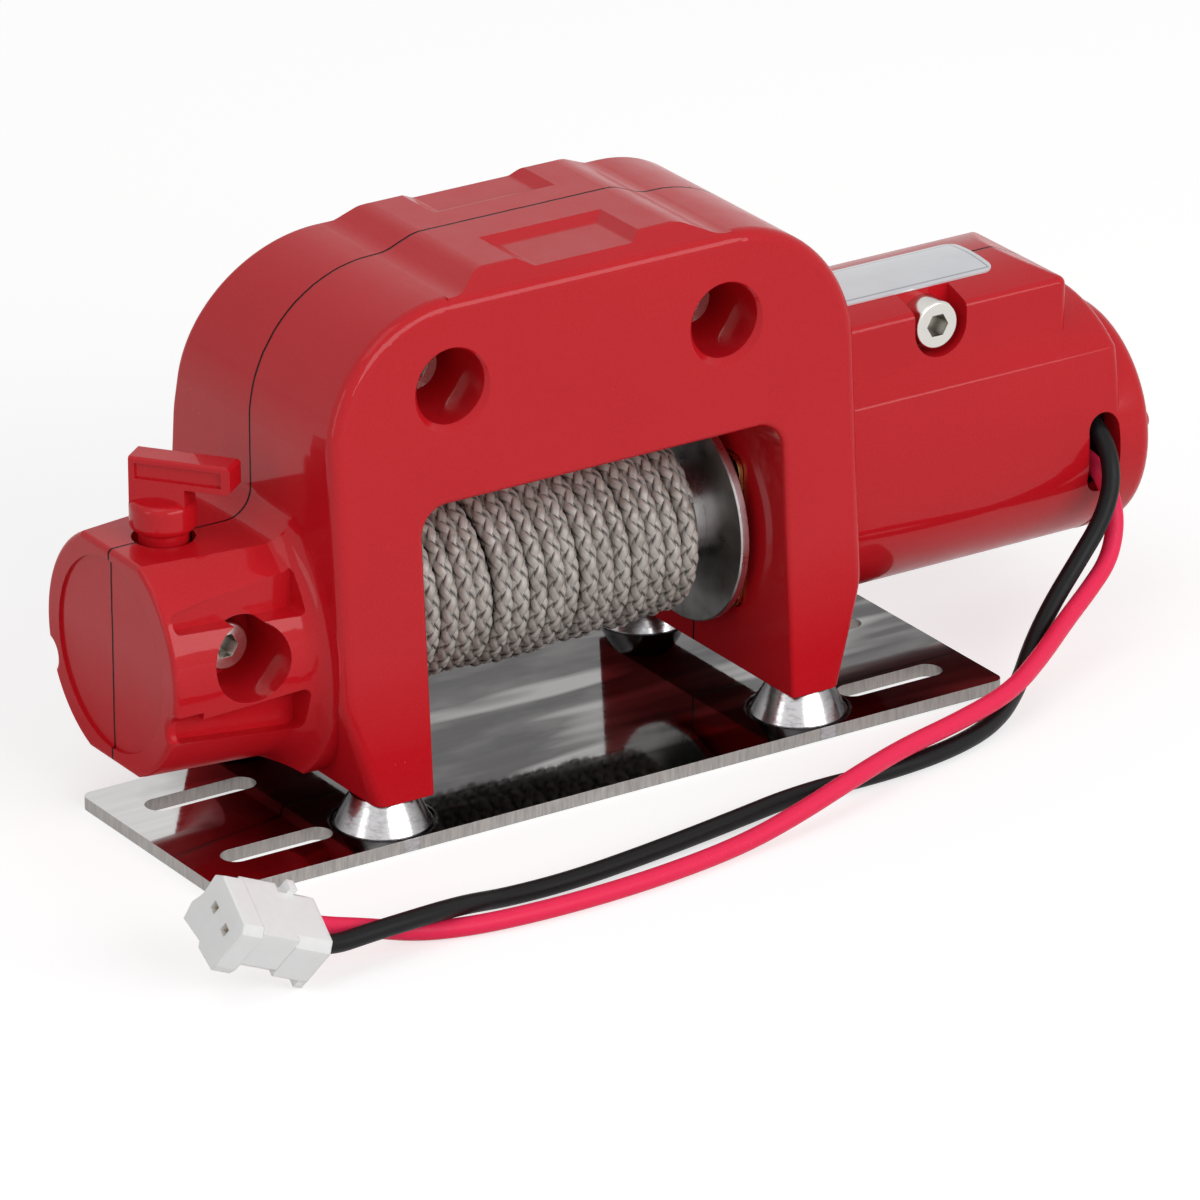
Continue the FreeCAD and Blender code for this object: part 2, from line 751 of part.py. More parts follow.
def front_housing(whole):
    half = whole.common(box(-60, 80, -40, 0, -10, 80))
    cuts = [shared_cavities()]
    radius = screw_diameter / 2 + thread_gap
    for x, z, seat in screw_places():
        cuts.append(rod_y(-seat - 1, 1, radius, x, z))
    for x in face_holes():
        cuts.append(rod_y(-30, -face_screw_seat, face_hole_diameter / 2, x, face_hole_height))
        depth = face_depth(face_hole_height)
        cuts.append(Part.makeCone(face_hole_diameter / 2 + face_hole_chamfer + 1, face_hole_diameter / 2,
                                  face_hole_chamfer + 1, V(x, -depth - 1, face_hole_height), V(0, 1, 0)))
    cuts.append(rod_y(-30, -case_screw_seat, case_hole_diameter / 2, case_screw_x, case_screw_z))
    cuts.append(rod_y(-30, -box_screw_seat, box_hole_diameter / 2, box_screw_x, box_screw_z))
    cuts.append(box(box_screw_x - box_hole_diameter / 2, box_screw_x + box_hole_diameter / 2, -30,
                    -box_screw_seat, box_screw_z, box_screw_z + 10))
    for x, z in rear_screw_places():
        cuts.append(rod_y(rear_screw_seat - rear_screw_length - 0.5, 1, radius, x, z))
    end = (wire_slot_height - wire_slot_width) / 2
    for z in (wire_slot_z - end, wire_slot_z + end):
        cuts.append(rod_y(-30, -2, wire_slot_width / 2, wire_slot_x, z))
    cuts.append(box(wire_slot_x - wire_slot_width / 2, wire_slot_x + wire_slot_width / 2, -30, -2,
                    wire_slot_z - end, wire_slot_z + end))
    return cut_each(half, cuts)


def cut_each(body, cuts):
    for cutter in cuts:
        body = body.cut(cutter)
    return body


def rear_housing(whole):
    half = whole.common(box(-60, 80, 0, 40, -10, 80))
    cuts = [shared_cavities()]
    radius = screw_diameter / 2 + thread_gap
    for x, z, seat in screw_places():
        cuts.append(rod_y(-1, screw_length - seat + 0.5, radius, x, z))
    for x, z in rear_screw_places():
        cuts.append(rod_y(-1, rear_screw_seat + 1, radius, x, z))
        cuts.append(rod_y(rear_screw_seat, 30, rear_seat_diameter / 2, x, z))
    return cut_each(half, cuts)


def cap_screw(x, z, seat, length, facing):
    """Socket cap screw along Y, its head on the side that facing points to."""
    direction = V(0, facing, 0)
    base = V(x, seat, z)
    head = Part.makeCylinder(screw_head_diameter / 2, screw_head_height, base, direction)
    rim = edges_where(head, lambda p: abs(p.y - seat - facing * screw_head_height) < 0.01)
    head = head.makeFillet(0.25, rim)
    shank = Part.makeCylinder(screw_diameter / 2, length, base, direction * -1)
    socket = hexagon(base + direction * screw_head_height, direction * -1, socket_across_flats, socket_depth)
    return head.fuse(shank).removeSplitter().cut(socket)


def housing_screws():
    return Part.makeCompound([cap_screw(x, z, -seat, screw_length, -1) for x, z, seat in screw_places()])


def rear_screws():
    return Part.makeCompound([cap_screw(x, z, rear_screw_seat, rear_screw_length, 1)
                              for x, z in rear_screw_places()])


def label_plate():
    end = label_start + label_length
    r = label_corner_radius
    plan = [(label_start, -label_front, r), (end, -label_front, r),
            (end, label_rear, r), (label_start, label_rear, r)]
    plan = sheet_xy(plan, axis_height, axis_height + box_top_radius + 1)
    return tube_x(label_start, end, box_top_radius + label_thickness, box_top_radius).common(plan)


# Bearings, drum, rope and shaft

def left_bush():
    window_left = window_shift - window_width / 2
    return tube_x(hub_end + 0.2, window_left - bush_wall_gap, bush_radius, hub_radius + running_gap)


def right_bearing():
    """Square brass flange with a long round sleeve for the shaft."""
    half_w, half_h = bearing_plate_width / 2, bearing_plate_height / 2
    r = bearing_plate_radius
    corners = [(-half_w, axis_height - half_h, r), (half_w, axis_height - half_h, r),
               (half_w, axis_height + half_h, r), (-half_w, axis_height + half_h, r)]
    back = bearing_plate_face + bearing_plate_thickness
    flange = sheet_yz(corners, bearing_plate_face, back)
    sleeve = rod_x(back, gearbox_start - 0.6, bush_radius)
    bore = rod_x(bearing_plate_face - 1, gearbox_start, shaft_radius + running_gap)
    return flange.fuse(sleeve).removeSplitter().cut(bore)


def drum_barrel():
    body = rod_x(drum_left, drum_right, barrel_radius).fuse(rod_x(hub_end, drum_left, hub_radius))
    body = body.removeSplitter().cut(rod_x(hub_end - 1, drum_right + 1, shaft_radius + running_gap))
    half = dog_width / 2 + side_gap
    slot = box(hub_end - 1, hub_end + dog_length + side_gap, -hub_radius - 1, hub_radius + 1,
               axis_height - half, axis_height + half)
    return body.cut(slot)


def drum_flange(x0):
    disc = tube_x(x0, x0 + flange_thickness, flange_radius, barrel_radius + press_gap)
    rim = edges_where(disc, lambda p: math.hypot(p.y, p.z - axis_height) > flange_radius - 0.01)
    rim = [e for e in rim if e.BoundBox.XLength < 0.01]
    return disc.makeChamfer(0.12, rim)


def rope_inner_layers():
    outer = rope_path_radius - rope_diameter / 2 - rope_core_gap
    left = drum_left + flange_thickness + side_gap
    right = rope_start + rope_pitch * rope_turns + rope_diameter / 2
    return tube_x(left, right, outer, barrel_radius + press_gap)


def rope_point(turn):
    angle = 2 * math.pi * turn + math.radians(rope_start_angle)
    return V(rope_start + rope_pitch * turn, rope_path_radius * math.sin(angle),
             axis_height + rope_path_radius * math.cos(angle))


def rope_tangent(turn):
    angle = 2 * math.pi * turn + math.radians(rope_start_angle)
    speed = 2 * math.pi * rope_path_radius
    direction = V(rope_pitch, speed * math.cos(angle), -speed * math.sin(angle))
    direction.normalize()
    return direction


def biarc(p0, t0, p1, t1):
    """Two tangent arcs from p0 along t0 to p1 along t1, with equal tangent lengths."""
    v = p1 - p0
    t = t0 + t1
    dot = t0.dot(t1)
    a = 2 * (1 - dot)
    b = 2 * v.dot(t)
    c = -v.dot(v)
    d = (-b + math.sqrt(b * b - 4 * a * c)) / (2 * a)
    joint = (p0 + p1 + (t0 - t1) * d) * 0.5
    return [arc_from(p0, t0, joint), arc_from(joint, (p1 - t1 * d - joint), p1)]


def arc_from(start, direction, end):
    """Arc that leaves start along direction and reaches end."""
    direction = V(direction)
    direction.normalize()
    chord = end - start
    normal = direction.cross(chord)
    normal.normalize()
    inward = normal.cross(direction)
    radius = chord.dot(chord) / (2 * chord.dot(inward))
    centre = start + inward * radius
    middle = (start + end) * 0.5 - centre
    middle.normalize()
    return Part.Arc(start, centre + middle * radius, end).toShape()


def rope_outer_winding():
    quarters = int(round(rope_turns * 4))
    first, last = rope_point(0), rope_point(quarters / 4)
    lead = rope_diameter
    edges = [Part.LineSegment(first - rope_tangent(0) * lead, first).toShape()]
    for i in range(quarters):
        here, there = i / 4, (i + 1) / 4
        edges += biarc(rope_point(here), rope_tangent(here), rope_point(there), rope_tangent(there))
    edges.append(Part.LineSegment(last, last + rope_tangent(quarters / 4) * lead).toShape())
    path = Part.Wire(edges)
    start = edges[0].Vertexes[0].Point
    section = Part.Wire(Part.makeCircle(rope_diameter / 2, start, rope_tangent(0)))
    winding = path.makePipeShell([section], True, False)
    report_gap()
    expected = math.pi * rope_diameter ** 2 / 4 * path.Length
    share = winding.Volume / expected
    print("rope length %.1f mm, volume over section x length %.4f" % (path.Length, share))
    return winding


def report_gap():
    """Least distance between the rope's surface and itself, one turn on."""
    least = 1e9
    steps = 72
    for i in range(steps * 2):
        here = rope_point(i / steps)
        for j in range(i + steps // 2, i + steps * 2):
            least = min(least, (rope_point(j / steps) - here).Length)
    print("least gap of the rope to itself %.3f mm" % (least - rope_diameter))


def drive_shaft():
    shaft = rod_x(shaft_left, output_carrier_back(), shaft_radius)
    half = shaft_flats / 2
    end = hub_end - 0.1
    for sign in (-1, 1):
        z0, z1 = sorted((axis_height + sign * half, axis_height + sign * (shaft_radius + 1)))
        shaft = shaft.cut(box(shaft_left - 1, end, -shaft_radius - 1, shaft_radius + 1, z0, z1))
    return shaft


# Free-spool clutch

def fork_travel():
    return cam_offset * (math.sin(math.radians(lever_travel / 2)) * 2)


def cam_place():
    """Rest position of the cam pin: half the lever's travel before it points to -Y."""
    angle = math.radians(-90 + lever_travel / 2)
    return V(stem_x + cam_offset * math.cos(angle), cam_offset * math.sin(angle), 0)


def groove_middle():
    return hub_end - side_gap * 2 - dog_body_length / 2


def fork_ends():
    right = groove_middle() + fork_thickness / 2
    left = cam_place().x - cam_pin_radius - 1.4
    return left, right


def clutch_lever():
    bottom = case_top + collar_lift
    stem = rod_z(stem_flange_top, bottom + 0.5, stem_radius, stem_x)
    flange = rod_z(stem_flange_top - stem_flange_height, stem_flange_top, stem_flange_radius, stem_x)
    collar = rod_z(bottom, bottom + collar_height, collar_radius, stem_x)
    low = edges_where(collar, lambda p: p.z < bottom + 0.01)
    high = edges_where(collar, lambda p: p.z > bottom + collar_height - 0.01)
    collar = collar.makeFillet(collar_edge_radius, low + high)
    half = bar_width / 2
    block_top = bottom + collar_height + block_height
    block = box(-block_rear, block_front, -half, half, bottom + collar_height - 1.2, block_top)
    bar = box(-block_rear, bar_front, -half, half, block_top - 0.01, block_top + bar_height)
    handle = block.fuse(bar).removeSplitter()
    tip = edges_where(handle, lambda p: p.x > bar_front - 0.01)
    handle = handle.makeChamfer(bar_chamfer, [e for e in tip if e.BoundBox.ZLength < 0.01])
    rest = [e for e in handle.Edges if e.BoundBox.XLength > 4 and e.BoundBox.ZMin > block_top + 1]
    handle = handle.makeFillet(bar_edge_radius, rest)
    for sign in (-1, 1):
        y0, y1 = sorted((sign * (half - panel_depth), sign * (half + 1)))
        handle = handle.cut(box(-block_rear + panel_margin, bar_front - bar_chamfer - panel_margin, y0, y1,
                                block_top + panel_margin, block_top + bar_height - panel_margin))
    handle.Placement = FreeCAD.Placement(V(stem_x, 0, 0), FreeCAD.Rotation(V(0, 0, 1), lever_angle))
    return fuse_all([stem, flange, collar, handle]).removeSplitter()


def clutch_cam_pin():
    place = cam_place()
    top = stem_flange_top - stem_flange_height
    return rod_z(top - cam_pin_length, top, cam_pin_radius, place.x, place.y)


def shift_fork():
    left, right = fork_ends()
    half = fork_width / 2
    top = fork_plate_bottom + fork_thickness
    plate = box(left, right, -half, half, fork_plate_bottom, top)
    prong_half = fork_prong_width / 2
    inner = groove_radius + side_gap
    yoke = box(right - fork_thickness, right, -prong_half, prong_half, fork_prong_bottom, top)
    yoke = yoke.cut(rod_x(right - 2 * fork_thickness, right + 1, inner))
    yoke = yoke.cut(box(right - 2 * fork_thickness, right + 1, -inner, inner, fork_prong_bottom - 1,
                        axis_height))
    place = cam_place()
    wide = cam_pin_radius + side_gap
    slot = box(place.x - wide, place.x + wide, -cam_offset - wide, place.y + wide,
               fork_plate_bottom - 1, top + 1)
    return plate.fuse(yoke).removeSplitter().cut(slot)


def dog_collar():
    right = hub_end - side_gap * 2
    left = right - dog_body_length
    body = rod_x(left, right, dog_radius)
    middle = groove_middle()
    groove_half = fork_thickness / 2 + side_gap
    body = body.cut(tube_x(middle - groove_half, middle + groove_half, dog_radius + 1, groove_radius))
    lug = box(right, hub_end + dog_length, -dog_radius, dog_radius, axis_height - dog_width / 2,
              axis_height + dog_width / 2)
    lug = lug.common(rod_x(right, hub_end + dog_length, dog_radius))
    body = body.fuse(lug).removeSplitter()
    bore = rod_x(left - 1, hub_end + dog_length + 1, shaft_radius + running_gap)
    half = shaft_flats / 2 + running_gap
    flats = box(left - 1, right, -shaft_radius - 1, shaft_radius + 1, axis_height - half, axis_height + half)
    long_bore = bore.common(flats).fuse(rod_x(right, hub_end + dog_length + 1, shaft_radius + running_gap))
    return body.cut(long_bore)


# Gearbox

def gear_outline(teeth, root, tip, extra, phase, centre_y, centre_z, x):
    """Closed outline of straight-flanked teeth; extra widens each tooth, phase turns it (degrees)."""
    pitch = module * teeth / 2
    step = 2 * math.pi / teeth
    flank = math.tan(math.radians(20))
    half_pitch = math.pi * module / 4 + extra / 2
    points = []
    for i in range(teeth):
        middle = math.radians(phase) + i * step
        for radius, side in ((root, -1), (tip, -1), (tip, 1), (root, 1)):
            half = (half_pitch - (radius - pitch) * flank) / radius
            angle = middle + side * half
            points.append(V(x, centre_y + radius * math.cos(angle), centre_z + radius * math.sin(angle)))
    return Part.Face(Part.makePolygon(points + [points[0]]))


def spur(teeth, x0, x1, bore, phase=0.0, centre=(0.0, axis_height)):
    pitch = module * teeth / 2
    root, tip = pitch - 1.25 * module, pitch + 0.9 * module
    face = gear_outline(teeth, root, tip, -tooth_backlash, phase, *centre, x0)
    body = face.extrude(V(x1 - x0, 0, 0))
    return body.cut(rod_x(x0 - 1, x1 + 1, bore, *centre))


def planet_angle(index):
    return 360.0 * index / planet_count


def planet_centre(index):
    angle = math.radians(planet_angle(index))
    return planet_orbit * math.cos(angle), axis_height + planet_orbit * math.sin(angle)


def output_carrier_front():
    return gearbox_start + gearbox_plate_thickness + stage_gap


def output_carrier_back():
    return output_carrier_front() + carrier_thickness


def output_stage():
    start = output_carrier_back() + stage_gap
    return start, start + gear_face_width


def middle_carrier():
    start = output_stage()[1] + stage_gap
    return start, start + carrier_thickness


def input_stage():
    start = middle_carrier()[1] + stage_gap
    return start, start + gear_face_width


def gearbox_end():
    return input_stage()[1] + stage_gap


def planet(index, stage):
    x0, x1 = stage
    return spur(planet_teeth, x0, x1, pin_radius + running_gap, planet_angle(index), planet_centre(index))


def ring_gear():
    x0, x1 = output_carrier_front(), gearbox_end()
    pitch = module * ring_teeth / 2
    teeth = gear_outline(ring_teeth, pitch - 0.9 * module, pitch + 1.25 * module, tooth_backlash, 0.0,
                         0.0, axis_height, x0 - 1)
    return rod_x(x0, x1, ring_outer_radius).cut(teeth.extrude(V(x1 - x0 + 2, 0, 0)))


def gearbox_plate():
    x0 = gearbox_start
    return tube_x(x0, x0 + gearbox_plate_thickness, ring_outer_radius, shaft_radius + running_gap)


def carrier_disc(x0, x1, bore):
    disc = tube_x(x0, x1, carrier_radius, bore)
    for index in range(planet_count):
        disc = disc.cut(rod_x(x0 - 1, x1 + 1, pin_radius + press_gap, *planet_centre(index)))
    return disc


def carrier_pins(x0, x1):
    return Part.makeCompound([rod_x(x0, x1, pin_radius, *planet_centre(i)) for i in range(planet_count)])


def output_sun_gear():
    x0 = output_stage()[0]
    x1 = middle_carrier()[1]
    gear = spur(sun_teeth, x0, middle_carrier()[0] - 0.1, 0.5)
    return gear.fuse(rod_x(middle_carrier()[0] - 0.1, x1, sun_radius - 1.25 * module).cut(
        rod_x(x0 - 1, x1 + 1, 0.5))).removeSplitter()


# Motor

def motor_start():
    return gearbox_end() + 0.2


def motor_can():
    x0 = motor_start()
    x1 = x0 + can_length
    body = rod_x(x0, x1, can_radius).cut(rod_x(x0 + can_wall * 2, x1 + 1, can_radius - can_wall))
    return body.cut(rod_x(x0 - 1, x0 + 2, motor_bearing_radius + press_gap))


def motor_front_bearing():
    x0 = motor_start()
    return tube_x(x0, x0 + can_wall * 2, motor_bearing_radius, motor_shaft_radius + running_gap)


def motor_magnets():
    x0 = motor_start() + can_wall * 2 + 1.0
    outer = can_radius - can_wall - press_gap
    body = tube_x(x0, x0 + armature_length, outer, outer - magnet_thickness)
    gap = box(x0 - 1, x0 + armature_length + 1, -2.0, 2.0, 0.0, axis_height * 3)
    return body.cut(gap)


def motor_end_bell():
    x0 = motor_start() + can_length
    body = tube_x(x0, x0 + end_bell_length, can_radius, motor_shaft_radius + running_gap)
    for z in terminal_heights():
        half = terminal_width / 2 + press_gap
        body = body.cut(box(x0 - 1, x0 + end_bell_length + 1, -terminal_face - press_gap,
                            terminal_thickness - terminal_face + press_gap, z - half, z + half))
    return body


def terminal_heights():
    middle = wire_slot_z + terminal_rise
    return middle - terminal_spacing / 2, middle + terminal_spacing / 2


def motor_terminals():
    x0 = motor_start() + can_length
    half = terminal_width / 2
    tabs = [box(x0 - 1.0, x0 + end_bell_length + terminal_reach, -terminal_face,
                terminal_thickness - terminal_face, z - half, z + half) for z in terminal_heights()]
    return Part.makeCompound(tabs)


def motor_shaft():
    return rod_x(input_stage()[0] + 0.2, motor_start() + can_length + end_bell_length, motor_shaft_radius)


def motor_armature():
    x0 = motor_start() + can_wall * 2 + 1.0
    body = tube_x(x0, x0 + armature_length, armature_radius, motor_shaft_radius + press_gap)
    for i in range(armature_slots):
        angle = 2 * math.pi * i / armature_slots
        y, z = armature_slot_orbit * math.cos(angle), axis_height + armature_slot_orbit * math.sin(angle)
        body = body.cut(rod_x(x0 - 1, x0 + armature_length + 1, armature_slot_radius, y, z))
    return body


def motor_commutator():
    x0 = motor_start() + can_wall * 2 + 1.0 + armature_length + 0.5
    return tube_x(x0, x0 + commutator_length, commutator_radius, motor_shaft_radius + press_gap)


# Wires and plug

def wire_routes():
    """Corner points of the two wires, from the motor terminals to the plug, chosen along the floor."""
    x, face = wire_slot_x, -terminal_face
    red_z, black_z = terminal_heights()
    black = [(x, face, black_z), (x, face - wire_lead, black_z), (56.5, -9.95, 19.1), (56.3, -11.75, 17.4),
             (55.7, -12.95, 15.0), (54.1, -13.65, 12.2), (51.1, -14.3, 9.3), (47.3, -15.6, 6.4),
             (43.8, -17.5, 3.9), (40.1, -20.6, 1.9), (35.0, -24.4, 1.0), (28.6, -26.7, 0.87),
             (20.8, -27.6, 0.86), (12.0, -27.2, 0.87), (3.0, -28.9, 0.86), (-6.0, -30.4, 0.87),
             (-14.5, -31.4, 0.86), (-21.6, -31.95, 1.25), (-26.0, -33.1, 2.25), (-29.3, -34.0, 2.8),
             (-32.6, -34.5, 3.0), (-36.6, -34.8, 3.05)]
    red = [(x, face, red_z), (x, face - wire_lead, red_z), (56.6, -9.95, 15.2), (56.6, -11.8, 13.4),
           (56.2, -13.0, 11.0), (54.5, -14.3, 8.5), (51.4, -15.6, 6.8), (47.3, -17.7, 5.5),
           (42.5, -20.8, 4.4), (36.9, -24.0, 3.4), (30.0, -26.0, 3.0), (22.3, -27.9, 2.9),
           (15.0, -30.6, 2.7), (8.5, -32.4, 1.9), (2.0, -33.5, 1.0), (-6.0, -34.7, 0.87),
           (-14.5, -35.3, 0.86), (-22.3, -35.1, 0.87), (-27.6, -34.3, 0.87), (-31.6, -33.0, 1.0),
           (-35.9, -32.5, 2.3)]
    return [V(*p) for p in black], [V(*p) for p in red]


def wire_tube(points, name):
    """Straight runs joined by arcs as large as the shorter neighbouring run allows."""
    edges = []
    here = points[0]
    for i in range(1, len(points) - 1):
        back, ahead = points[i - 1] - points[i], points[i + 1] - points[i]
        turn = math.pi - back.getAngle(ahead)
        reach = 0.45 * min(back.Length, ahead.Length)
        radius = reach / math.tan(turn / 2)
        turned = math.degrees(turn)
        print("%s point %d: run %.1f, turn %.0f, radius %.1f" % (name, i, ahead.Length, turned, radius))
        back.normalize()
        ahead.normalize()
        start, end = points[i] + back * reach, points[i] + ahead * reach
        inward = back + ahead
        inward.normalize()
        middle = points[i] + inward * (radius / math.cos(turn / 2) - radius)
        edges.append(Part.LineSegment(here, start).toShape())
        edges.append(Part.Arc(start, middle, end).toShape())
        here = end
    edges.append(Part.LineSegment(here, points[-1]).toShape())
    path = Part.Wire(edges)
    direction = points[1] - points[0]
    section = Part.Wire(Part.makeCircle(wire_diameter / 2, points[0], direction))
    tube = path.makePipeShell([section], True, False)
    share = tube.Volume / (math.pi * wire_diameter ** 2 / 4 * path.Length)
    print("%s: length %.1f mm, volume over section x length %.4f" % (name, path.Length, share))
    return tube


def plug_placement():
    """Plug frame: local X points from the wire end to the mating end, local Y along the two poles."""
    turn = FreeCAD.Rotation(V(0, 0, 1), plug_heading)
    tilt = FreeCAD.Rotation(V(0, 1, 0), -plug_pitch_angle)
    roll = FreeCAD.Rotation(V(1, 0, 0), plug_roll)
    return FreeCAD.Placement(V(*plug_wire_end), turn.multiply(tilt).multiply(roll))


def wire_ends():
    """Where the wires enter the plug, with a point behind each that lines up with its bore."""
    place = plug_placement()
    ends = []
    for side in (1, -1):
        end = place.multVec(V(plug_bore_depth, side * plug_pitch / 2, 0))
        before = place.multVec(V(-1.0, side * plug_pitch / 2, 0))
        ends.append((before, end))
    return ends


def plug_block(outline, start, end):
    """Length of the plug with the outline's corners along local Y and Z."""
    corners = [V(start, y, z) for y, z in outline]
    face = Part.Face(Part.makePolygon(corners + corners[:1]))
    return face.extrude(V(end - start, 0, 0))


def connector_housing():
    """Nose with a keyed outline, a slimmer waist behind it and a flange round the wires' bores."""
    nose_start = plug_length - plug_nose_length
    nose = plug_block(plug_nose_outline, nose_start, plug_length)
    front_edges = edges_where(nose, lambda p: p.x > plug_length - 0.01)
    nose = nose.makeChamfer(plug_nose_chamfer, front_edges)
    waist = plug_block(plug_waist_outline, plug_flange_length, nose_start)
    flange = plug_block(plug_flange_outline, 0, plug_flange_length)
    foot = box(0, plug_foot_length, plug_foot_start, plug_foot_end, plug_foot_bottom, 0)
    rib_end = plug_rib_start + plug_rib_length
    rib = box(plug_rib_start, rib_end, plug_rib_left, plug_rib_right, 0, plug_rib_top)
    body = fuse_all([nose, waist, flange, foot, rib]).removeSplitter()
    opening = plug_contact_size / 2 + plug_contact_gap
    for side in (-1, 1):
        y = side * plug_pitch / 2
        body = body.cut(rod_x(-1, plug_bore_depth, plug_bore / 2, y, 0))
        body = body.cut(box(plug_bore_depth, plug_length + 1, y - opening, y + opening, -opening, opening))
    body.Placement = plug_placement()
    return body


def connector_contacts():
    place = plug_placement()
    parts = []
    half = plug_contact_size / 2
    inner = half - plug_contact_wall
    for side in (-1, 1):
        y = side * plug_pitch / 2
        contact = box(plug_bore_depth, plug_length - plug_contact_recess, y - half, y + half, -half, half)
        hollow = box(plug_bore_depth + plug_contact_root, plug_length, y - inner, y + inner, -inner, inner)
        contact = contact.cut(hollow)
        contact.Placement = place
        parts.append(contact)
    return Part.makeCompound(parts)


def build():
    whole = casting()
    parts = {
        "mounting_plate": mounting_plate(),
        "foot_screws": foot_screws(),
        "front_housing": front_housing(whole),
        "rear_housing": rear_housing(whole),
        "housing_screws": housing_screws(),
        "rear_screws": rear_screws(),
        "label_plate": label_plate(),
        "left_bush": left_bush(),
        "right_bearing": right_bearing(),
        "drum_barrel": drum_barrel(),
        "drum_flange_left": drum_flange(drum_left),
        "drum_flange_right": drum_flange(drum_right - flange_thickness),
        "rope_inner_layers": rope_inner_layers(),
        "rope_outer_winding": rope_outer_winding(),
        "drive_shaft": drive_shaft(),
        "clutch_lever": clutch_lever(),
        "clutch_cam_pin": clutch_cam_pin(),
        "shift_fork": shift_fork(),
        "dog_collar": dog_collar(),
        "gearbox_plate": gearbox_plate(),
        "ring_gear": ring_gear(),
        "output_carrier": carrier_disc(output_carrier_front(), output_carrier_back(),
                                       shaft_radius + press_gap),
        "output_planet_pins": carrier_pins(output_carrier_front(), output_stage()[1]),
        "middle_carrier": carrier_disc(*middle_carrier(), sun_radius - 1.25 * module + press_gap),
        "input_planet_pins": carrier_pins(middle_carrier()[0], input_stage()[1]),
        "output_sun_gear": output_sun_gear(),
        "motor_sun_gear": spur(sun_teeth, *input_stage(), motor_shaft_radius + press_gap),
        "motor_shaft": motor_shaft(),
        "motor_armature": motor_armature(),
        "motor_commutator": motor_commutator(),
        "motor_can": motor_can(),
        "motor_magnets": motor_magnets(),
        "motor_front_bearing": motor_front_bearing(),
        "motor_end_bell": motor_end_bell(),
        "motor_terminals": motor_terminals(),
        "connector_housing": connector_housing(),
        "connector_contacts": connector_contacts(),
    }
    for index in range(planet_count):
        letter = "abcdefgh"[index]
        parts["output_planet_" + letter] = planet(index, output_stage())
        parts["input_planet_" + letter] = planet(index, input_stage())
    black, red = wire_routes()
    ends = wire_ends()
    parts["black_wire"] = wire_tube(black + list(ends[0]), "black wire")
    parts["red_wire"] = wire_tube(red + list(ends[1]), "red wire")
    return parts


os.makedirs("parts", exist_ok=True)
for name, shape in build().items():
    if not shape.isValid() or not shape.Solids:
        print("PROBLEM", name, shape.isValid(), len(shape.Solids))
    shape.exportStep("parts/" + name + ".step")
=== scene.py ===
"""Studio picture of a small electric drum winch on its mounting plate.

Lengths are in metres, in the frame of the model: X runs along the drum, the rope window faces -Y and Z is up.
"""
import math

import bpy
import numpy as np
from mathutils import Matrix, Vector


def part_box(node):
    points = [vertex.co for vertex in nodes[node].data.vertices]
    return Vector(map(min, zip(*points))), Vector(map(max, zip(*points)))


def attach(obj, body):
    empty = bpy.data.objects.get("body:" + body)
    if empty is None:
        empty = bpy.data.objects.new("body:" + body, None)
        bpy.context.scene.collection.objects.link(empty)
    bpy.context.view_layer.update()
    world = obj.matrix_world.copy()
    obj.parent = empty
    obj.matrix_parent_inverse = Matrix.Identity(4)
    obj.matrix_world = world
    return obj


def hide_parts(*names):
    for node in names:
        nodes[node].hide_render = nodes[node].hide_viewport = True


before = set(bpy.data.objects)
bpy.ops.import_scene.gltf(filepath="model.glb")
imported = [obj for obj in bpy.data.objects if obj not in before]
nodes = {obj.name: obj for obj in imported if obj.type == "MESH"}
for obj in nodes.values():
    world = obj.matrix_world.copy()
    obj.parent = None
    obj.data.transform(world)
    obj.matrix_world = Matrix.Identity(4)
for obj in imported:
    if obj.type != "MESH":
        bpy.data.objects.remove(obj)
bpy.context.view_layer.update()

MM = 0.001
axis_height = 16.9 * MM

# Camera, fitted to the view of the reference picture
camera_azimuth = math.radians(-33.3)
camera_elevation = math.radians(23.1)
camera_distance = 829.9 * MM
camera_right = 7.478 * MM
camera_up = 11.318 * MM
camera_lens = 280.0
sensor_width = 36.0

# Curves
curve_steps = 12
curve_roundness = 7

# Wires: routes in millimetres from the slot in the motor case to the plug
wire_diameter = 1.7 * MM
black_route = [(56.6, -5.6, 19.9), (56.6, -7.6, 19.9), (56.5, -9.95, 19.1), (56.3, -11.75, 17.4),
               (55.7, -12.95, 15.0), (54.1, -13.65, 12.2), (51.1, -14.3, 9.3), (47.3, -15.6, 6.4),
               (43.8, -17.5, 3.9), (40.1, -20.6, 1.9), (35.0, -24.4, 1.0), (28.6, -26.7, 0.87),
               (20.8, -27.6, 0.86), (12.0, -27.2, 0.87), (3.0, -28.9, 0.86), (-6.0, -30.4, 0.87),
               (-14.5, -31.4, 0.86), (-21.6, -31.95, 1.25), (-26.0, -33.1, 2.25), (-29.3, -34.0, 2.8),
               (-32.6, -34.5, 3.0), (-36.6, -34.8, 3.05), (-41.89, -35.38, 3.05), (-45.54, -35.50, 4.68)]
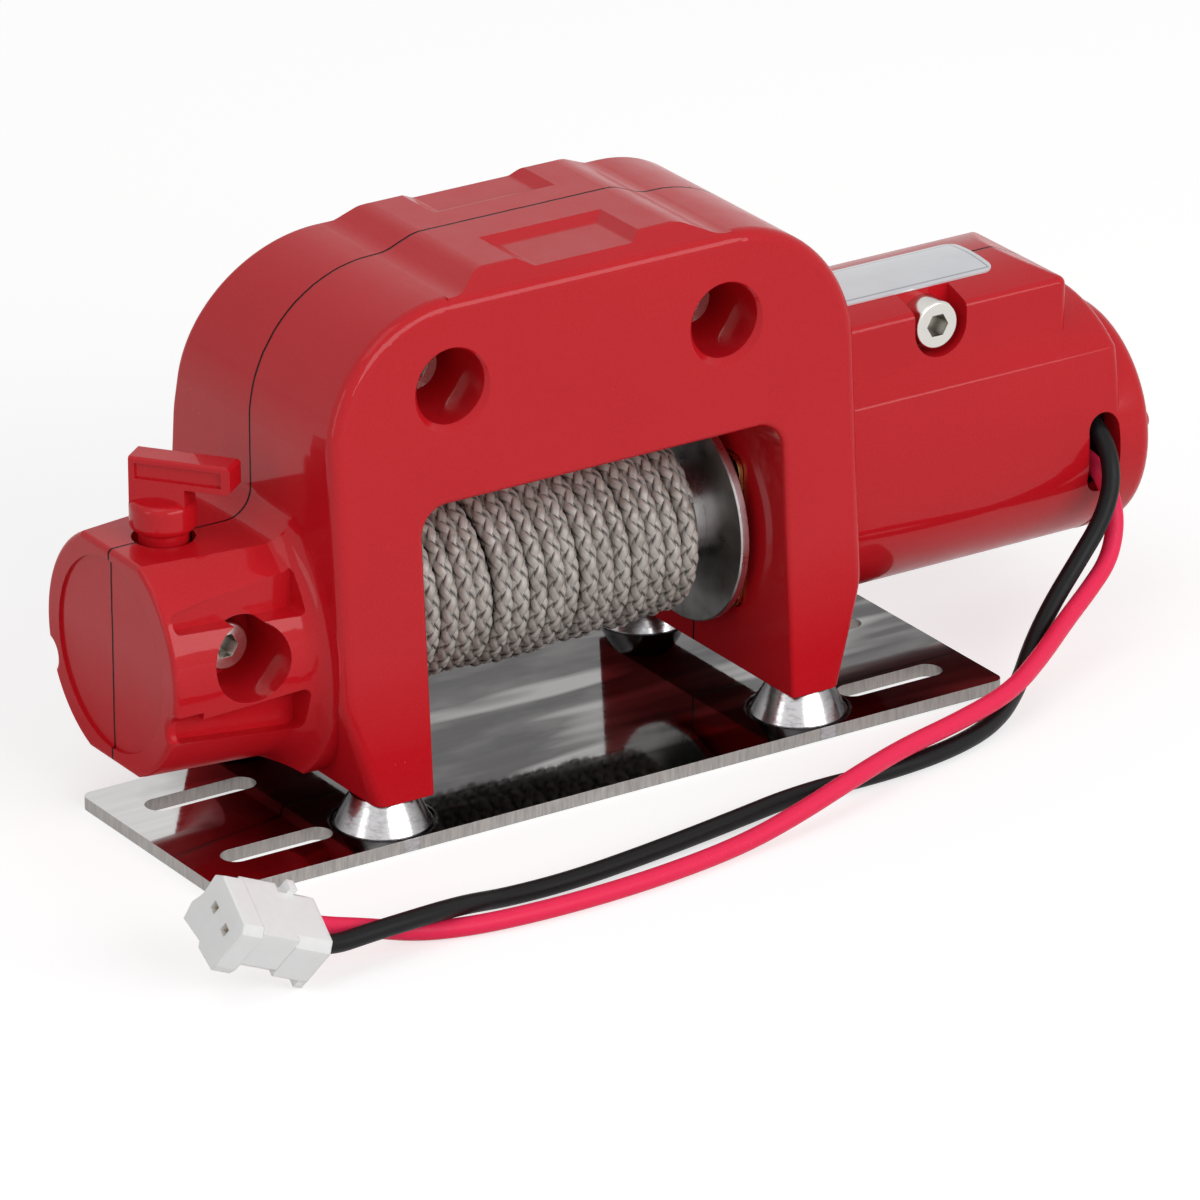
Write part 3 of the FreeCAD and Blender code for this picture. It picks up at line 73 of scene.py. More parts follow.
red_route = [(56.6, -5.6, 16.0), (56.6, -7.6, 16.0), (56.6, -9.95, 15.2), (56.6, -11.8, 13.4),
             (56.2, -13.0, 11.0), (54.5, -14.3, 8.5), (51.4, -15.6, 6.8), (47.3, -17.7, 5.5),
             (42.5, -20.8, 4.4), (36.9, -24.0, 3.4), (30.0, -26.0, 3.0), (22.3, -27.9, 2.9),
             (15.0, -30.6, 2.7), (8.5, -32.4, 1.9), (2.0, -33.5, 1.0), (-6.0, -34.7, 0.87),
             (-14.5, -35.3, 0.86), (-22.3, -35.1, 0.87), (-27.6, -34.3, 0.87), (-31.6, -33.0, 1.0),
             (-35.9, -32.5, 2.3), (-41.48, -33.16, 4.14), (-45.14, -33.29, 5.76)]

# Rope on the drum: outer layer
rope_radius = 0.88 * MM
rope_pitch = 1.8 * MM
rope_start = -16.1 * MM
rope_turns = 17.25
rope_path_radius = 7.95 * MM
rope_right_radius = 7.6 * MM
rope_bulge = 0.35 * MM
rope_bulge_turn = 7.0
rope_bulge_turns = 1.6
rope_step_down_turn = 14.4
rope_step_down_turns = 2.4
rope_sway_out = 0.16 * MM
rope_sway_along = 0.13 * MM
sway_out_phase = 0.7
sway_along_phase = 1.9
sway_waves = ((1.0, 2.36, 1.0), (0.6, 5.9, 2.1), (0.5, 9.7, 3.7))  # share, radians per turn, share of the phase
sway_total = 1.6
rope_tucked_radius = 5.6 * MM
rope_tuck_turns = 0.35
rope_start_angle = math.radians(60)
rope_points_per_turn = 16

# Braid
strands_each_way = 4
crossing_spacing = 1.0 * MM
strand_path_radius = 0.66 * MM
strand_lift = 0.13 * MM
strand_half_width = 0.45 * MM
strand_half_depth = 0.13 * MM
# Section of a strand, as shares of its half width and half depth
strand_profile = ((-1.0, -1.0), (-0.85, 0.25), (-0.4, 0.85), (0.0, 1.0), (0.4, 0.85), (0.85, 0.25), (1.0, -1.0))
core_radius = 0.56 * MM
core_step = 0.5 * MM
tube_sides = 8

# Layers of rope under the outer one
layer_path_radius = 6.3 * MM
layer_rope_radius = rope_radius * 0.9
layer_step = 1.2 * MM
sleeve_radius = 5.6 * MM
sleeve_end_radius = sleeve_radius * 0.85
sleeve_points = 49

# Finishes: a length that is a plain number is in millimetres
seam_half_width = 0.12
paint_coat = 0.42
# Painted shade: the next three values thin the clear coat low on the legs, up to legs_end along X, so their lower
# parts come out darker
painted_shade_coat = 0.03
painted_shade_full_height = 8.5
painted_shade_end_height = 18.0
legs_end = 28.0
legs_end_blend = 3.0
seam_wander = 0.035
seam_groove = 9.0
deep_red = (0.53, 0.005, 0.012)
candy_red = (0.61, 0.009, 0.017)
foot_x = 21.8
foot_y = 12.5
foot_reach = 4.85
foot_blend = 0.05
# Painted reflection on the plate's top: it fades in along X between these two places
painted_reflection_fade_start = -36.0
painted_reflection_fade_end = -26.0
painted_shade_reach = 1.2 * MM
turning_marks = 38.0  # radians per millimetre
border_inset = 0.42
border_width = 0.20

# Light and floor
world_level = 0.40
floor_half = 2.0
floor_level = -0.03 * MM
floor_tone = (0.6, 0.6, 0.6, 1)
floor_roughness = 0.8
floor_glow = 0.62
lamp_target = (0, 0, 0.02)
lamps = {
    "key_lamp": {"place": (0.20, -0.90, 0.42), "size": (0.9, 0.5), "power": 5.0},
    "top_lamp": {"place": (-0.35, -0.15, 0.90), "size": (0.5, 0.5), "power": 0.8},
    "left_lamp": {"place": (-0.90, -0.10, 0.30), "size": (0.25, 0.5), "power": 0.65},
}


def place_camera():
    a, e = camera_azimuth, camera_elevation
    right = Vector((math.cos(a), math.sin(a), 0))
    back = Vector((math.sin(a) * math.cos(e), -math.cos(a) * math.cos(e), math.sin(e)))
    up = back.cross(right)
    camera = bpy.data.objects.new("camera", bpy.data.cameras.new("camera"))
    bpy.context.scene.collection.objects.link(camera)
    camera.data.lens = camera_lens
    camera.data.sensor_width = sensor_width
    turn = Matrix((right, up, back)).transposed().to_4x4()
    place = right * camera_right + up * camera_up + back * camera_distance
    camera.matrix_world = Matrix.Translation(place) @ turn
    bpy.context.scene.camera = camera


def spline_object(name, points, radius=0.0):
    """Curve object with one smooth spline that has these control points, in metres."""
    curve = bpy.data.curves.new(name, "CURVE")
    curve.dimensions = "3D"
    curve.resolution_u = curve_steps
    curve.bevel_depth = 1.0 if radius else 0.0
    curve.bevel_resolution = curve_roundness
    spline = curve.splines.new("NURBS")
    spline.points.add(len(points) - 1)
    for point, place in zip(spline.points, points):
        point.co = (*place, 1)
        point.radius = radius
    spline.order_u = 3
    spline.use_endpoint_u = True
    obj = bpy.data.objects.new(name, curve)
    bpy.context.scene.collection.objects.link(obj)
    return obj


def spline_points(obj):
    """Points along a curve with no bevel, in order."""
    mesh = bpy.data.meshes.new_from_object(obj)
    points = np.array([vertex.co for vertex in mesh.vertices])
    bpy.data.meshes.remove(mesh)
    return points


def wire(name, node, route):
    points = [tuple(value * MM for value in point) for point in route]
    piece = spline_object(name, points, wire_diameter / 2)
    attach(piece, "housing")
    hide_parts(node)
    return piece


class Finish:
    """A material in the making, with short ways to add and join its nodes."""

    def __init__(self, name, colour, metallic=0.0, roughness=0.5):
        self.material = bpy.data.materials.new(name)
        self.material.use_nodes = True
        self.tree = self.material.node_tree
        self.shader = self.tree.nodes["Principled BSDF"]
        self.put("Base Color", (*colour, 1))
        self.put("Metallic", metallic)
        self.put("Roughness", roughness)

    def put(self, socket, value):
        """Sets a socket of the shader, or joins it to another node's output."""
        target = self.shader.inputs[socket]
        if isinstance(value, bpy.types.NodeSocket):
            self.tree.links.new(value, target)
        else:
            target.default_value = value

    def node(self, kind, inputs=(), **settings):
        """New node whose first inputs take these values or outputs; None leaves one alone."""
        node = self.tree.nodes.new("ShaderNode" + kind)
        for name, value in settings.items():
            setattr(node, name, value)
        for index, value in enumerate(inputs):
            if isinstance(value, bpy.types.NodeSocket):
                self.tree.links.new(value, node.inputs[index])
            elif value is not None:
                node.inputs[index].default_value = value
        return node

    def place(self, stretch=(1, 1, 1), source="Object"):
        """Place on the piece in millimetres, each axis times its stretch."""
        where = self.node("TexCoord").outputs[source]
        per_mm = 1 / MM if source == "Object" else 1.0
        scale = tuple(per_mm * value for value in stretch)
        return self.node("Mapping", (where, None, None, scale)).outputs[0]

    def noise(self, size, detail=3.0, stretch=(1, 1, 1), source="Object"):
        """Noise from 0 to 1 whose spots are about size millimetres across."""
        vector = self.place(stretch, source)
        return self.node("TexNoise", (vector, None, 1 / size, detail)).outputs[0]

    def axes(self):
        """Place on the piece along X, Y and Z in millimetres."""
        return self.node("SeparateXYZ", (self.place(),)).outputs

    def maths(self, operation, *values):
        return self.node("Math", values, operation=operation).outputs[0]

    def fade(self, value, low, high, start=0.0, end=1.0):
        """Value brought from low..high to start..end, and held there outside it."""
        return self.node("MapRange", (value, low, high, start, end)).outputs[0]

    def blend(self, share, first, second):
        """Colour between first and second."""
        node = self.node("Mix", data_type="RGBA")
        for index, value in ((0, share), (6, first), (7, second)):
            if isinstance(value, bpy.types.NodeSocket):
                self.tree.links.new(value, node.inputs[index])
            else:
                node.inputs[index].default_value = value if index == 0 else (*value, 1)
        return node.outputs[2]

    def mix(self, share, first, second):
        """Plain number between first and second."""
        node = self.node("Mix", data_type="FLOAT")
        for index, value in ((0, share), (2, first), (3, second)):
            self.tree.links.new(value, node.inputs[index])
        return node.outputs[0]

    def bump(self, height, depth, edge=0.0):
        """Relief of depth millimetres, over edges rounded by edge millimetres."""
        node = self.node("Bump")
        node.inputs["Strength"].default_value = 1.0
        node.inputs["Distance"].default_value = depth * MM
        self.tree.links.new(height, node.inputs["Height"])
        if edge:
            rounded = self.node("Bevel", samples=4)
            rounded.inputs["Radius"].default_value = edge * MM
            self.tree.links.new(rounded.outputs[0], node.inputs["Normal"])
        self.put("Normal", node.outputs[0])


def draw_seam(finish, colour, peel):
    """Dark line where the two castings meet, and painted shade: less clear coat low on the legs, so they come out
    darker.
    """
    place = finish.axes()
    # Painted shade: less coat low on the legs makes them darker
    clear = finish.maths("MAXIMUM", finish.fade(place[2], painted_shade_full_height, painted_shade_end_height),
                         finish.fade(place[0], legs_end, legs_end + legs_end_blend))
    coat = finish.fade(clear, 0.0, 1.0, painted_shade_coat, paint_coat)
    wander = finish.fade(finish.noise(1.6, 3.0), 0.3, 0.7, -seam_wander, seam_wander)
    away = finish.maths("ABSOLUTE", finish.maths("ADD", place[1], wander))
    line = finish.fade(away, seam_half_width * 0.6, seam_half_width * 1.25, 1.0, 0.0)
    lip = finish.fade(away, seam_half_width * 1.2, seam_half_width * 2.6, 0.5, 0.0)
    colour = finish.blend(lip, colour, (0.42, 0.003, 0.006))
    colour = finish.blend(line, colour, (0.012, 0.0, 0.001))
    peel = finish.maths("SUBTRACT", peel, finish.maths("MULTIPLY", line, seam_groove))
    finish.put("Coat Weight", finish.maths("MULTIPLY", coat, finish.maths("SUBTRACT", 1.0, line)))
    return colour, peel


def gloss_paint(name, seam):
    """Candy red paint over a cast surface, with orange peel and specks of dust; with the seam, also painted shade
    low on the legs.
    """
    finish = Finish(name, candy_red, 0.0, 0.36)
    colour = finish.blend(finish.noise(14.0, 2.0), deep_red, candy_red)
    grain = finish.noise(0.18, 3.0)
    colour = finish.blend(finish.fade(grain, 0.35, 0.75, 0.0, 0.35), colour, (0.70, 0.020, 0.026))
    cells = finish.node("TexVoronoi", (finish.place(), None, 0.42))
    speck = finish.maths("LESS_THAN", cells.outputs["Distance"], 0.022)
    rare = finish.maths("GREATER_THAN", finish.noise(5.0, 0.0), 0.56)
    dust = finish.maths("MULTIPLY", finish.maths("MULTIPLY", speck, rare), 0.4)
    colour = finish.blend(dust, colour, (0.80, 0.36, 0.36))
    peel = finish.maths("ADD", finish.noise(1.1, 2.0), finish.maths("MULTIPLY", finish.noise(7.0, 1.0), 4.0))
    if seam:
        colour, peel = draw_seam(finish, colour, peel)
    else:
        finish.put("Coat Weight", paint_coat)
    finish.put("Base Color", colour)
    finish.put("Roughness", finish.fade(finish.noise(3.0, 4.0), 0.3, 0.7, 0.30, 0.42))
    finish.put("Specular IOR Level", 0.04)
    finish.put("Coat Roughness", 0.06)
    finish.bump(peel, 0.006, 0.12)
    return finish.material


def metal(name, colour, roughness, grain=0.25, stretch=(1, 1, 1), spread=0.08, depth=0.002):
    """Bare metal with a fine grain in its roughness, tone and relief."""
    finish = Finish(name, colour, 1.0, roughness)
    pattern = finish.noise(grain, 4.0, stretch)
    darker = tuple(value * 0.78 for value in colour)
    finish.put("Base Color", finish.blend(pattern, darker, colour))
    finish.put("Roughness", finish.fade(pattern, 0.3, 0.7, roughness - spread, roughness + spread))
    finish.bump(pattern, depth, 0.08)
    return finish.material


def socket_steel():
    """Plated screw steel, with painted shade that darkens its sockets and hollows, and a painted dark reflection
    where it turns away from the eye.
    """
    finish = Finish("screw_steel", (0.72, 0.70, 0.66), 1.0, 0.17)
    facing = finish.node("LayerWeight", (0.45,)).outputs[1]
    grain = finish.noise(0.12, 4.0)
    face = finish.blend(grain, (0.62, 0.60, 0.565), (0.74, 0.72, 0.68))
    # Painted shade: ambient occlusion darkens the sockets and other hollows
    inside = finish.node("AmbientOcclusion", ((1, 1, 1, 1), painted_shade_reach), samples=4, only_local=True).outputs[1]
    shade = finish.fade(inside, 0.45, 0.85, 0.85, 0.0)
    # Painted dark reflection where the steel turns away from the eye
    face = finish.blend(finish.fade(facing, 0.35, 0.85, 0.0, 0.6), face, (0.20, 0.19, 0.18))
    finish.put("Base Color", finish.blend(shade, face, (0.13, 0.115, 0.09)))
    finish.put("Roughness", finish.fade(grain, 0.3, 0.7, 0.13, 0.22))
    finish.bump(grain, 0.0006, 0.06)
    return finish.material


def foot_share(finish, place):
    """Share that is 1 on the four pressed feet of the plate and 0 round them."""
    squares = []
    for axis, middle in ((0, foot_x), (1, foot_y)):
        away = finish.maths("SUBTRACT", finish.maths("ABSOLUTE", place[axis]), middle)
        squares.append(finish.maths("MULTIPLY", away, away))
    radius = finish.maths("SQRT", finish.maths("ADD", *squares))
    return finish.fade(radius, foot_reach, foot_reach + foot_blend, 1.0, 0.0)


def top_with_painted_reflection(finish, place, brushed):
    """Colour of the plate's top: clear at its left end, and from there on a painted reflection of dark patches
    with bright bands.
    """
    clear = finish.blend(brushed, (0.50, 0.49, 0.485), (0.66, 0.65, 0.64))
    # Painted reflection: dark patches and light bands in place of what the mirror top would show
    reflection_patch_share = finish.fade(finish.noise(5.0, 3.0, (0.5, 1.2, 1)), 0.42, 0.62)
    painted_dark_reflection = finish.blend(reflection_patch_share, (0.035, 0.032, 0.033), (0.10, 0.096, 0.095))
    bright_reflection_bands = finish.fade(finish.noise(3.2, 1.0, (0.16, 1.0, 1)), 0.56, 0.70, 0.0, 0.8)
    painted_dark_reflection = finish.blend(bright_reflection_bands, painted_dark_reflection, (0.42, 0.41, 0.405))
    painted_dark_reflection = finish.blend(finish.fade(brushed, 0.0, 1.0, 0.0, 0.35), painted_dark_reflection, (0.16, 0.15, 0.148))
    wander = finish.fade(finish.noise(6.0, 2.0), 0.3, 0.7, -2.0, 2.0)
    painted_reflection_share = finish.fade(finish.maths("ADD", place[0], wander), painted_reflection_fade_start, painted_reflection_fade_end)
    return finish.blend(painted_reflection_share, clear, painted_dark_reflection)


def polished_plate():
    """Sheet steel with a mirror top that carries a painted reflection, pressed feet painted with a light middle
    and a dark rim as reflection, and sheared edges that show upright marks.
    """
    finish = Finish("polished_sheet", (0.60, 0.59, 0.58), 1.0, 0.12)
    normal = finish.node("NewGeometry").outputs["Normal"]
    upward = finish.node("SeparateXYZ", (normal,)).outputs[2]
    place = finish.axes()
    foot = foot_share(finish, place)
    side = finish.fade(finish.maths("ABSOLUTE", upward), 0.5, 0.9, 1.0, 0.0)
    side = finish.maths("MULTIPLY", side, finish.maths("SUBTRACT", 1.0, foot))
    brushed = finish.noise(0.9, 2.0, (0.06, 1, 1))
    marks = finish.noise(0.22, 4.0, (1, 1, 0.12))
    rings = finish.noise(0.8, 2.0, (1, 1, 2.5))
    cut = finish.blend(marks, (0.20, 0.185, 0.175), (0.52, 0.50, 0.48))
    # Painted reflection on the feet: light where they face the eye, dark where they turn away from it
    facing = finish.node("LayerWeight", (0.42,)).outputs[1]
    bright = finish.blend(finish.fade(facing, 0.06, 0.50), (0.60, 0.59, 0.60), (0.035, 0.032, 0.035))
    bright = finish.blend(finish.fade(rings, 0.45, 0.7, 0.0, 0.4), bright, (0.16, 0.15, 0.155))
    ground = finish.blend(side, top_with_painted_reflection(finish, place, brushed), cut)
    finish.put("Base Color", finish.blend(foot, ground, bright))
    top_rough = finish.fade(brushed, 0.3, 0.7, 0.04, 0.09)
    cut_rough = finish.fade(marks, 0.3, 0.7, 0.38, 0.55)
    foot_rough = finish.fade(rings, 0.3, 0.7, 0.14, 0.26)
    finish.put("Roughness", finish.mix(foot, finish.mix(side, top_rough, cut_rough), foot_rough))
    relief = finish.mix(side, finish.maths("MULTIPLY", brushed, 0.10), marks)
    finish.bump(finish.mix(foot, relief, finish.maths("MULTIPLY", rings, 0.5)), 0.02, 0.06)
    return finish.material


def turned_aluminium():
    """Aluminium with fine rings round the drum's axis, with painted reflection: light on the rims, dark on the
    faces.
    """
    finish = Finish("turned_aluminium", (0.60, 0.60, 0.61), 1.0, 0.3)
    place = finish.axes()
    height = finish.maths("SUBTRACT", place[2], axis_height / MM)
    squares = finish.maths("ADD", finish.maths("POWER", finish.maths("ABSOLUTE", height), 2.0),
                           finish.maths("POWER", finish.maths("ABSOLUTE", place[1]), 2.0))
    radius = finish.maths("SQRT", squares)
    rings = finish.maths("SINE", finish.maths("MULTIPLY", radius, turning_marks))
    cloud = finish.noise(1.6, 4.0)
    normal = finish.node("NewGeometry").outputs["Normal"]
    sideways = finish.maths("ABSOLUTE", finish.node("SeparateXYZ", (normal,)).outputs[0])
    # Painted reflection: surfaces facing away from the axis get a light colour, the flat faces along the axis a
    # dark one
    rim = finish.blend(cloud, (0.68, 0.66, 0.665), (0.80, 0.78, 0.785))
    face = finish.blend(cloud, (0.20, 0.195, 0.19), (0.40, 0.39, 0.385))
    finish.put("Base Color", finish.blend(finish.fade(sideways, 0.5, 0.9), rim, face))
    finish.put("Roughness", finish.fade(cloud, 0.3, 0.7, 0.26, 0.36))
    finish.bump(finish.maths("ADD", finish.maths("MULTIPLY", rings, 0.5), cloud), 0.0015, 0.06)
    return finish.material


def plastic(name, colour, roughness, grain=0.6, depth=0.004, glow=0.0, gloss=0.5):
    """Moulded plastic with a faint grain; glow is how far light spreads inside it."""
    finish = Finish(name, colour, 0.0, roughness)
    finish.put("Specular IOR Level", gloss)
    pattern = finish.noise(grain, 3.0)
    finish.put("Base Color", finish.blend(pattern, tuple(value * 0.93 for value in colour), colour))
    finish.put("Roughness", finish.fade(pattern, 0.3, 0.7, roughness - 0.06, roughness + 0.06))
    if glow:
        finish.put("Subsurface Weight", glow)
        finish.put("Subsurface Radius", (1.0, 0.95, 0.9))
        finish.put("Subsurface Scale", 0.8 * MM)
    finish.bump(pattern, depth, 0.12)
    return finish.material


def sticker():
    """Blank silvery gloss sticker with a thin grey border."""
    finish = Finish("blank_sticker", (0.66, 0.67, 0.70), 0.25, 0.2)
    place = finish.axes()
    low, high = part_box("label_plate")
    middle = [(a + b) / 2 / MM for a, b in zip(low, high)]
    half = [(b - a) / 2 / MM for a, b in zip(low, high)]
    inset = []
    for axis in (0, 1):
        away = finish.maths("ABSOLUTE", finish.maths("SUBTRACT", place[axis], middle[axis]))
        inset.append(finish.maths("SUBTRACT", half[axis], away))
    inward = finish.maths("MINIMUM", *inset)
    line = finish.maths("MULTIPLY", finish.maths("GREATER_THAN", inward, border_inset),
                        finish.maths("LESS_THAN", inward, border_inset + border_width))
    cloud = finish.noise(3.0, 3.0)
    ground = finish.blend(cloud, (0.60, 0.61, 0.65), (0.70, 0.71, 0.74))
    finish.put("Base Color", finish.blend(line, ground, (0.36, 0.37, 0.40)))
    finish.put("Roughness", finish.fade(cloud, 0.3, 0.7, 0.14, 0.24))
    finish.put("Coat Weight", 0.6)
    finish.put("Coat Roughness", 0.05)
    finish.bump(cloud, 0.006, 0.0)
    return finish.material


def silicone(name, colour, dark, specks):
    """Soft wire jacket with faint dust and a satin skin."""
    finish = Finish(name, colour, 0.0, 0.4)
    pattern = finish.noise(0.7, 4.0)
    ground = finish.blend(pattern, dark, colour)
    dust = finish.maths("GREATER_THAN", finish.noise(0.16, 1.0), 0.74)
    finish.put("Base Color", finish.blend(finish.maths("MULTIPLY", dust, 0.25), ground, specks))
    finish.put("Roughness", finish.fade(pattern, 0.3, 0.7, 0.38, 0.50))
    finish.put("Specular IOR Level", 0.18)
    finish.put("Subsurface Weight", 0.08)
    finish.put("Subsurface Scale", 0.4 * MM)
    finish.bump(pattern, 0.006, 0.0)
    return finish.material


def rope_fibre(name, light, dark):
    """Braided fibre: fine lines along each strand, lighter and darker stretches, and edges darkened as painted
    shade between the strands.
    """
    finish = Finish(name, light, 0.0, 0.5)
    lines = finish.noise(0.10, 2.0, (0.10, 1.0, 1.0), "UV")
    across = finish.node("SeparateXYZ", (finish.place((1, 1, 1), "UV"),)).outputs[1]
    rim = finish.maths("ABSOLUTE", finish.maths("SUBTRACT", across, 0.5))
    cloud = finish.noise(2.4, 3.0)
    spots = finish.noise(0.5, 2.0)
    ground = finish.blend(finish.fade(cloud, 0.35, 0.65), dark, light)
    ground = finish.blend(finish.fade(spots, 0.35, 0.7, 0.0, 0.5), ground, tuple(value * 1.12 for value in light))
    ground = finish.blend(finish.fade(lines, 0.3, 0.7, 0.55, 0.0), ground, dark)
    # Painted shade: each strand goes nearly black towards its edges, where the strands meet
    strand_edge_shade = tuple(value * 0.12 for value in dark)
    finish.put("Base Color", finish.blend(finish.fade(rim, 0.24, 0.47, 0.0, 0.92), ground, strand_edge_shade))
    finish.put("Roughness", finish.fade(lines, 0.3, 0.7, 0.28, 0.42))
    finish.put("Specular IOR Level", 0.7)
    finish.bump(lines, 0.02, 0.0)
    return finish.material


def sheet_faces(sheet, closed):
    """Faces of an array of points, as the points' numbers, and their marks along and across it."""
    n, m = sheet.shape[:2]
    run = np.linalg.norm(np.diff(sheet[:, m // 2], axis=0), axis=1)
    along = np.concatenate([[0.0], np.cumsum(run)]) / MM
    cols = m if closed else m - 1
    across = np.arange(m + 1) / cols
    i, j = np.meshgrid(np.arange(n - 1), np.arange(cols), indexing="ij")
    k = (j + 1) % m
    quads = np.stack([i * m + j, i * m + k, (i + 1) * m + k, (i + 1) * m + j], -1)
    corners = ((i, j), (i, j + 1), (i + 1, j + 1), (i + 1, j))
    marks = np.stack([np.stack([along[a], across[b]], -1) for a, b in corners], -2)
    return quads.reshape(-1, 4), marks.reshape(-1, 4, 2)


def ribbon_mesh(name, sheets, closed):
    """Mesh through arrays of points, each of n rows of m; closed joins each row's last point to its first."""
    places, faces, marks = [], [], []
    start = 0
    for sheet in sheets:
        quads, corner_marks = sheet_faces(sheet, closed)
        places.append(sheet.reshape(-1, 3))
        faces.append(quads + start)
        marks.append(corner_marks)
        start += sheet.shape[0] * sheet.shape[1]
    places, faces, marks = np.concatenate(places), np.concatenate(faces), np.concatenate(marks)
    mesh = bpy.data.meshes.new(name)
    mesh.vertices.add(len(places))
    mesh.vertices.foreach_set("co", places.ravel())
    mesh.loops.add(faces.size)
    mesh.loops.foreach_set("vertex_index", faces.ravel().astype(np.int32))
    mesh.polygons.add(len(faces))
    mesh.polygons.foreach_set("loop_start", np.arange(0, faces.size, 4, dtype=np.int32))
    mesh.polygons.foreach_set("use_smooth", np.ones(len(faces), dtype=bool))
    layer = mesh.uv_layers.new(name="along")
    layer.data.foreach_set("uv", marks.ravel())
    mesh.update(calc_edges=True)
    mesh.validate()
    obj = bpy.data.objects.new(name, mesh)
    bpy.context.scene.collection.objects.link(obj)
    return obj


def resample(points, step):
    """Points at equal steps along a line of points."""
    run = np.concatenate([[0.0], np.cumsum(np.linalg.norm(np.diff(points, axis=0), axis=1))])
    at = np.arange(0.0, run[-1], step)
    return np.stack([np.interp(at, run, points[:, axis]) for axis in range(3)], -1), at


def unit(vectors):
    return vectors / np.linalg.norm(vectors, axis=-1, keepdims=True)


def line_frame(points):
    """Directions along a line, away from the drum's axis, and across both, at each point."""
    along = unit(np.gradient(points, axis=0))
    outward = points * (0, 1, 1) - (0, 0, axis_height)
    outward = unit(outward - along * np.sum(outward * along, axis=1, keepdims=True))
    return along, outward, np.cross(along, outward)


def tube(points, radius):
    """Round tube along a line of points round the drum."""
    _, outward, across = line_frame(points)
    angle = np.linspace(0, 2 * math.pi, tube_sides, endpoint=False)[None, :, None]
    return points[:, None] + radius * (np.cos(angle) * outward[:, None] + np.sin(angle) * across[:, None])


def sway(turn, size, phase):
    """Slow uneven wander of the turns on the drum."""
    waves = sum(share * np.sin(rate * turn + lead * phase) for share, rate, lead in sway_waves)
    return size * waves / sway_total


def winding_points():
    """Control points of the outer layer, whose two ends dive between the turns below."""
    count = int(rope_turns * rope_points_per_turn) + 1
    turn = np.linspace(0, rope_turns, count)
    share = np.clip((turn - rope_step_down_turn) / rope_step_down_turns, 0, 1)
    radius = rope_path_radius + (rope_right_radius - rope_path_radius) * share * share * (3 - 2 * share)
    radius = radius + rope_bulge * np.exp(-((turn - rope_bulge_turn) / rope_bulge_turns) ** 2)
    radius = radius + sway(turn, rope_sway_out, sway_out_phase)
    for distance in (turn, rope_turns - turn):
        tuck = np.clip(1 - distance / rope_tuck_turns, 0, 1)
        radius = radius + (rope_tucked_radius - radius) * tuck * tuck
    angle = rope_start_angle + 2 * math.pi * turn
    x = rope_start + rope_pitch * turn + sway(turn, rope_sway_along, sway_along_phase) * np.clip(turn, 0, 1)
    return np.stack([x, radius * np.cos(angle), axis_height + radius * np.sin(angle)], -1)


def braid(points, at):
    """Flat strands that cross over and under each other round the rope's line."""
    _, outward, across = line_frame(points)
    sheets = []
    for way in (1, -1):
        for index in range(strands_each_way):
            steps = at / crossing_spacing
            angle = (way * math.pi / 4 * steps + index * 2 * math.pi / strands_each_way)[:, None]
            reach = (strand_path_radius + way * strand_lift * np.cos(math.pi * steps))[:, None]
            away = np.cos(angle) * outward + np.sin(angle) * across
            middle = points + reach * away
            side = unit(np.cross(np.gradient(middle, axis=0), away))
            rows = [middle + a * strand_half_width * side + b * strand_half_depth * away
                    for a, b in strand_profile]
            sheets.append(np.stack(rows, 1))
    return sheets


def wound_rope():
    """Outer layer: braided strands over a dark core along the same line, which paints the shade seen between the
    strands.
    """
    guide = spline_object("rope_guide", [tuple(point) for point in winding_points()])
    line = spline_points(guide)
    bpy.data.objects.remove(guide)
    points, at = resample(line, crossing_spacing / 4)
    rope = ribbon_mesh("braided_rope", braid(points, at), False)
    coarse, _ = resample(line, core_step)
    core = ribbon_mesh("rope_shade_core", [tube(coarse, core_radius)], True)
    rope.data.materials.append(rope_fibre("rope_braid", (0.66, 0.62, 0.575), (0.33, 0.30, 0.265)))
    # Painted shade: the core is nearly black, as the shade between the strands
    core.data.materials.append(rope_fibre("rope_gap_shade", (0.10, 0.09, 0.08), (0.05, 0.045, 0.04)))
    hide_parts("rope_outer_winding")
    for piece in (rope, core):
        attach(piece, "drum")


def rope_layers():
    """Layers under the outer one: a sleeve with a layer of plain turns that lean the other way, painted darker
    than the outer layer as shade.
    """
    low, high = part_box("rope_inner_layers")
    start, end = low[0] + rope_radius, high[0] - rope_radius
    turns = (end - start) / rope_pitch
    turn = np.linspace(0, turns, int(turns * rope_points_per_turn))
    angle = -2 * math.pi * turn
    points = np.stack([start + rope_pitch * turn, layer_path_radius * np.cos(angle),
                       axis_height + layer_path_radius * np.sin(angle)], -1)
    guide = spline_object("layer_guide", [tuple(point) for point in points])
    line, _ = resample(spline_points(guide), layer_step)
    bpy.data.objects.remove(guide)
    x = np.array([low[0], low[0], high[0], high[0]])
    radius = np.array([sleeve_end_radius, sleeve_radius, sleeve_radius, sleeve_end_radius])
    around = np.linspace(0, 2 * math.pi, sleeve_points)[:, None]
    sleeve = np.stack([np.broadcast_to(x, (sleeve_points, 4)), radius * np.cos(around),
                       axis_height + radius * np.sin(around)], -1)
    layers = ribbon_mesh("rope_layers", [tube(line, layer_rope_radius), sleeve], True)
    # Painted shade: a darker copy of the rope's colour for the layers under the outer one
    layers.data.materials.append(rope_fibre("rope_under_shaded", (0.26, 0.24, 0.215), (0.16, 0.145, 0.125)))
    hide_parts("rope_inner_layers")
    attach(layers, "drum")


def dress(material, *names):
    """Gives these nodes the material."""
    for name in names:
        for place in nodes[name].material_slots:
            place.material = material


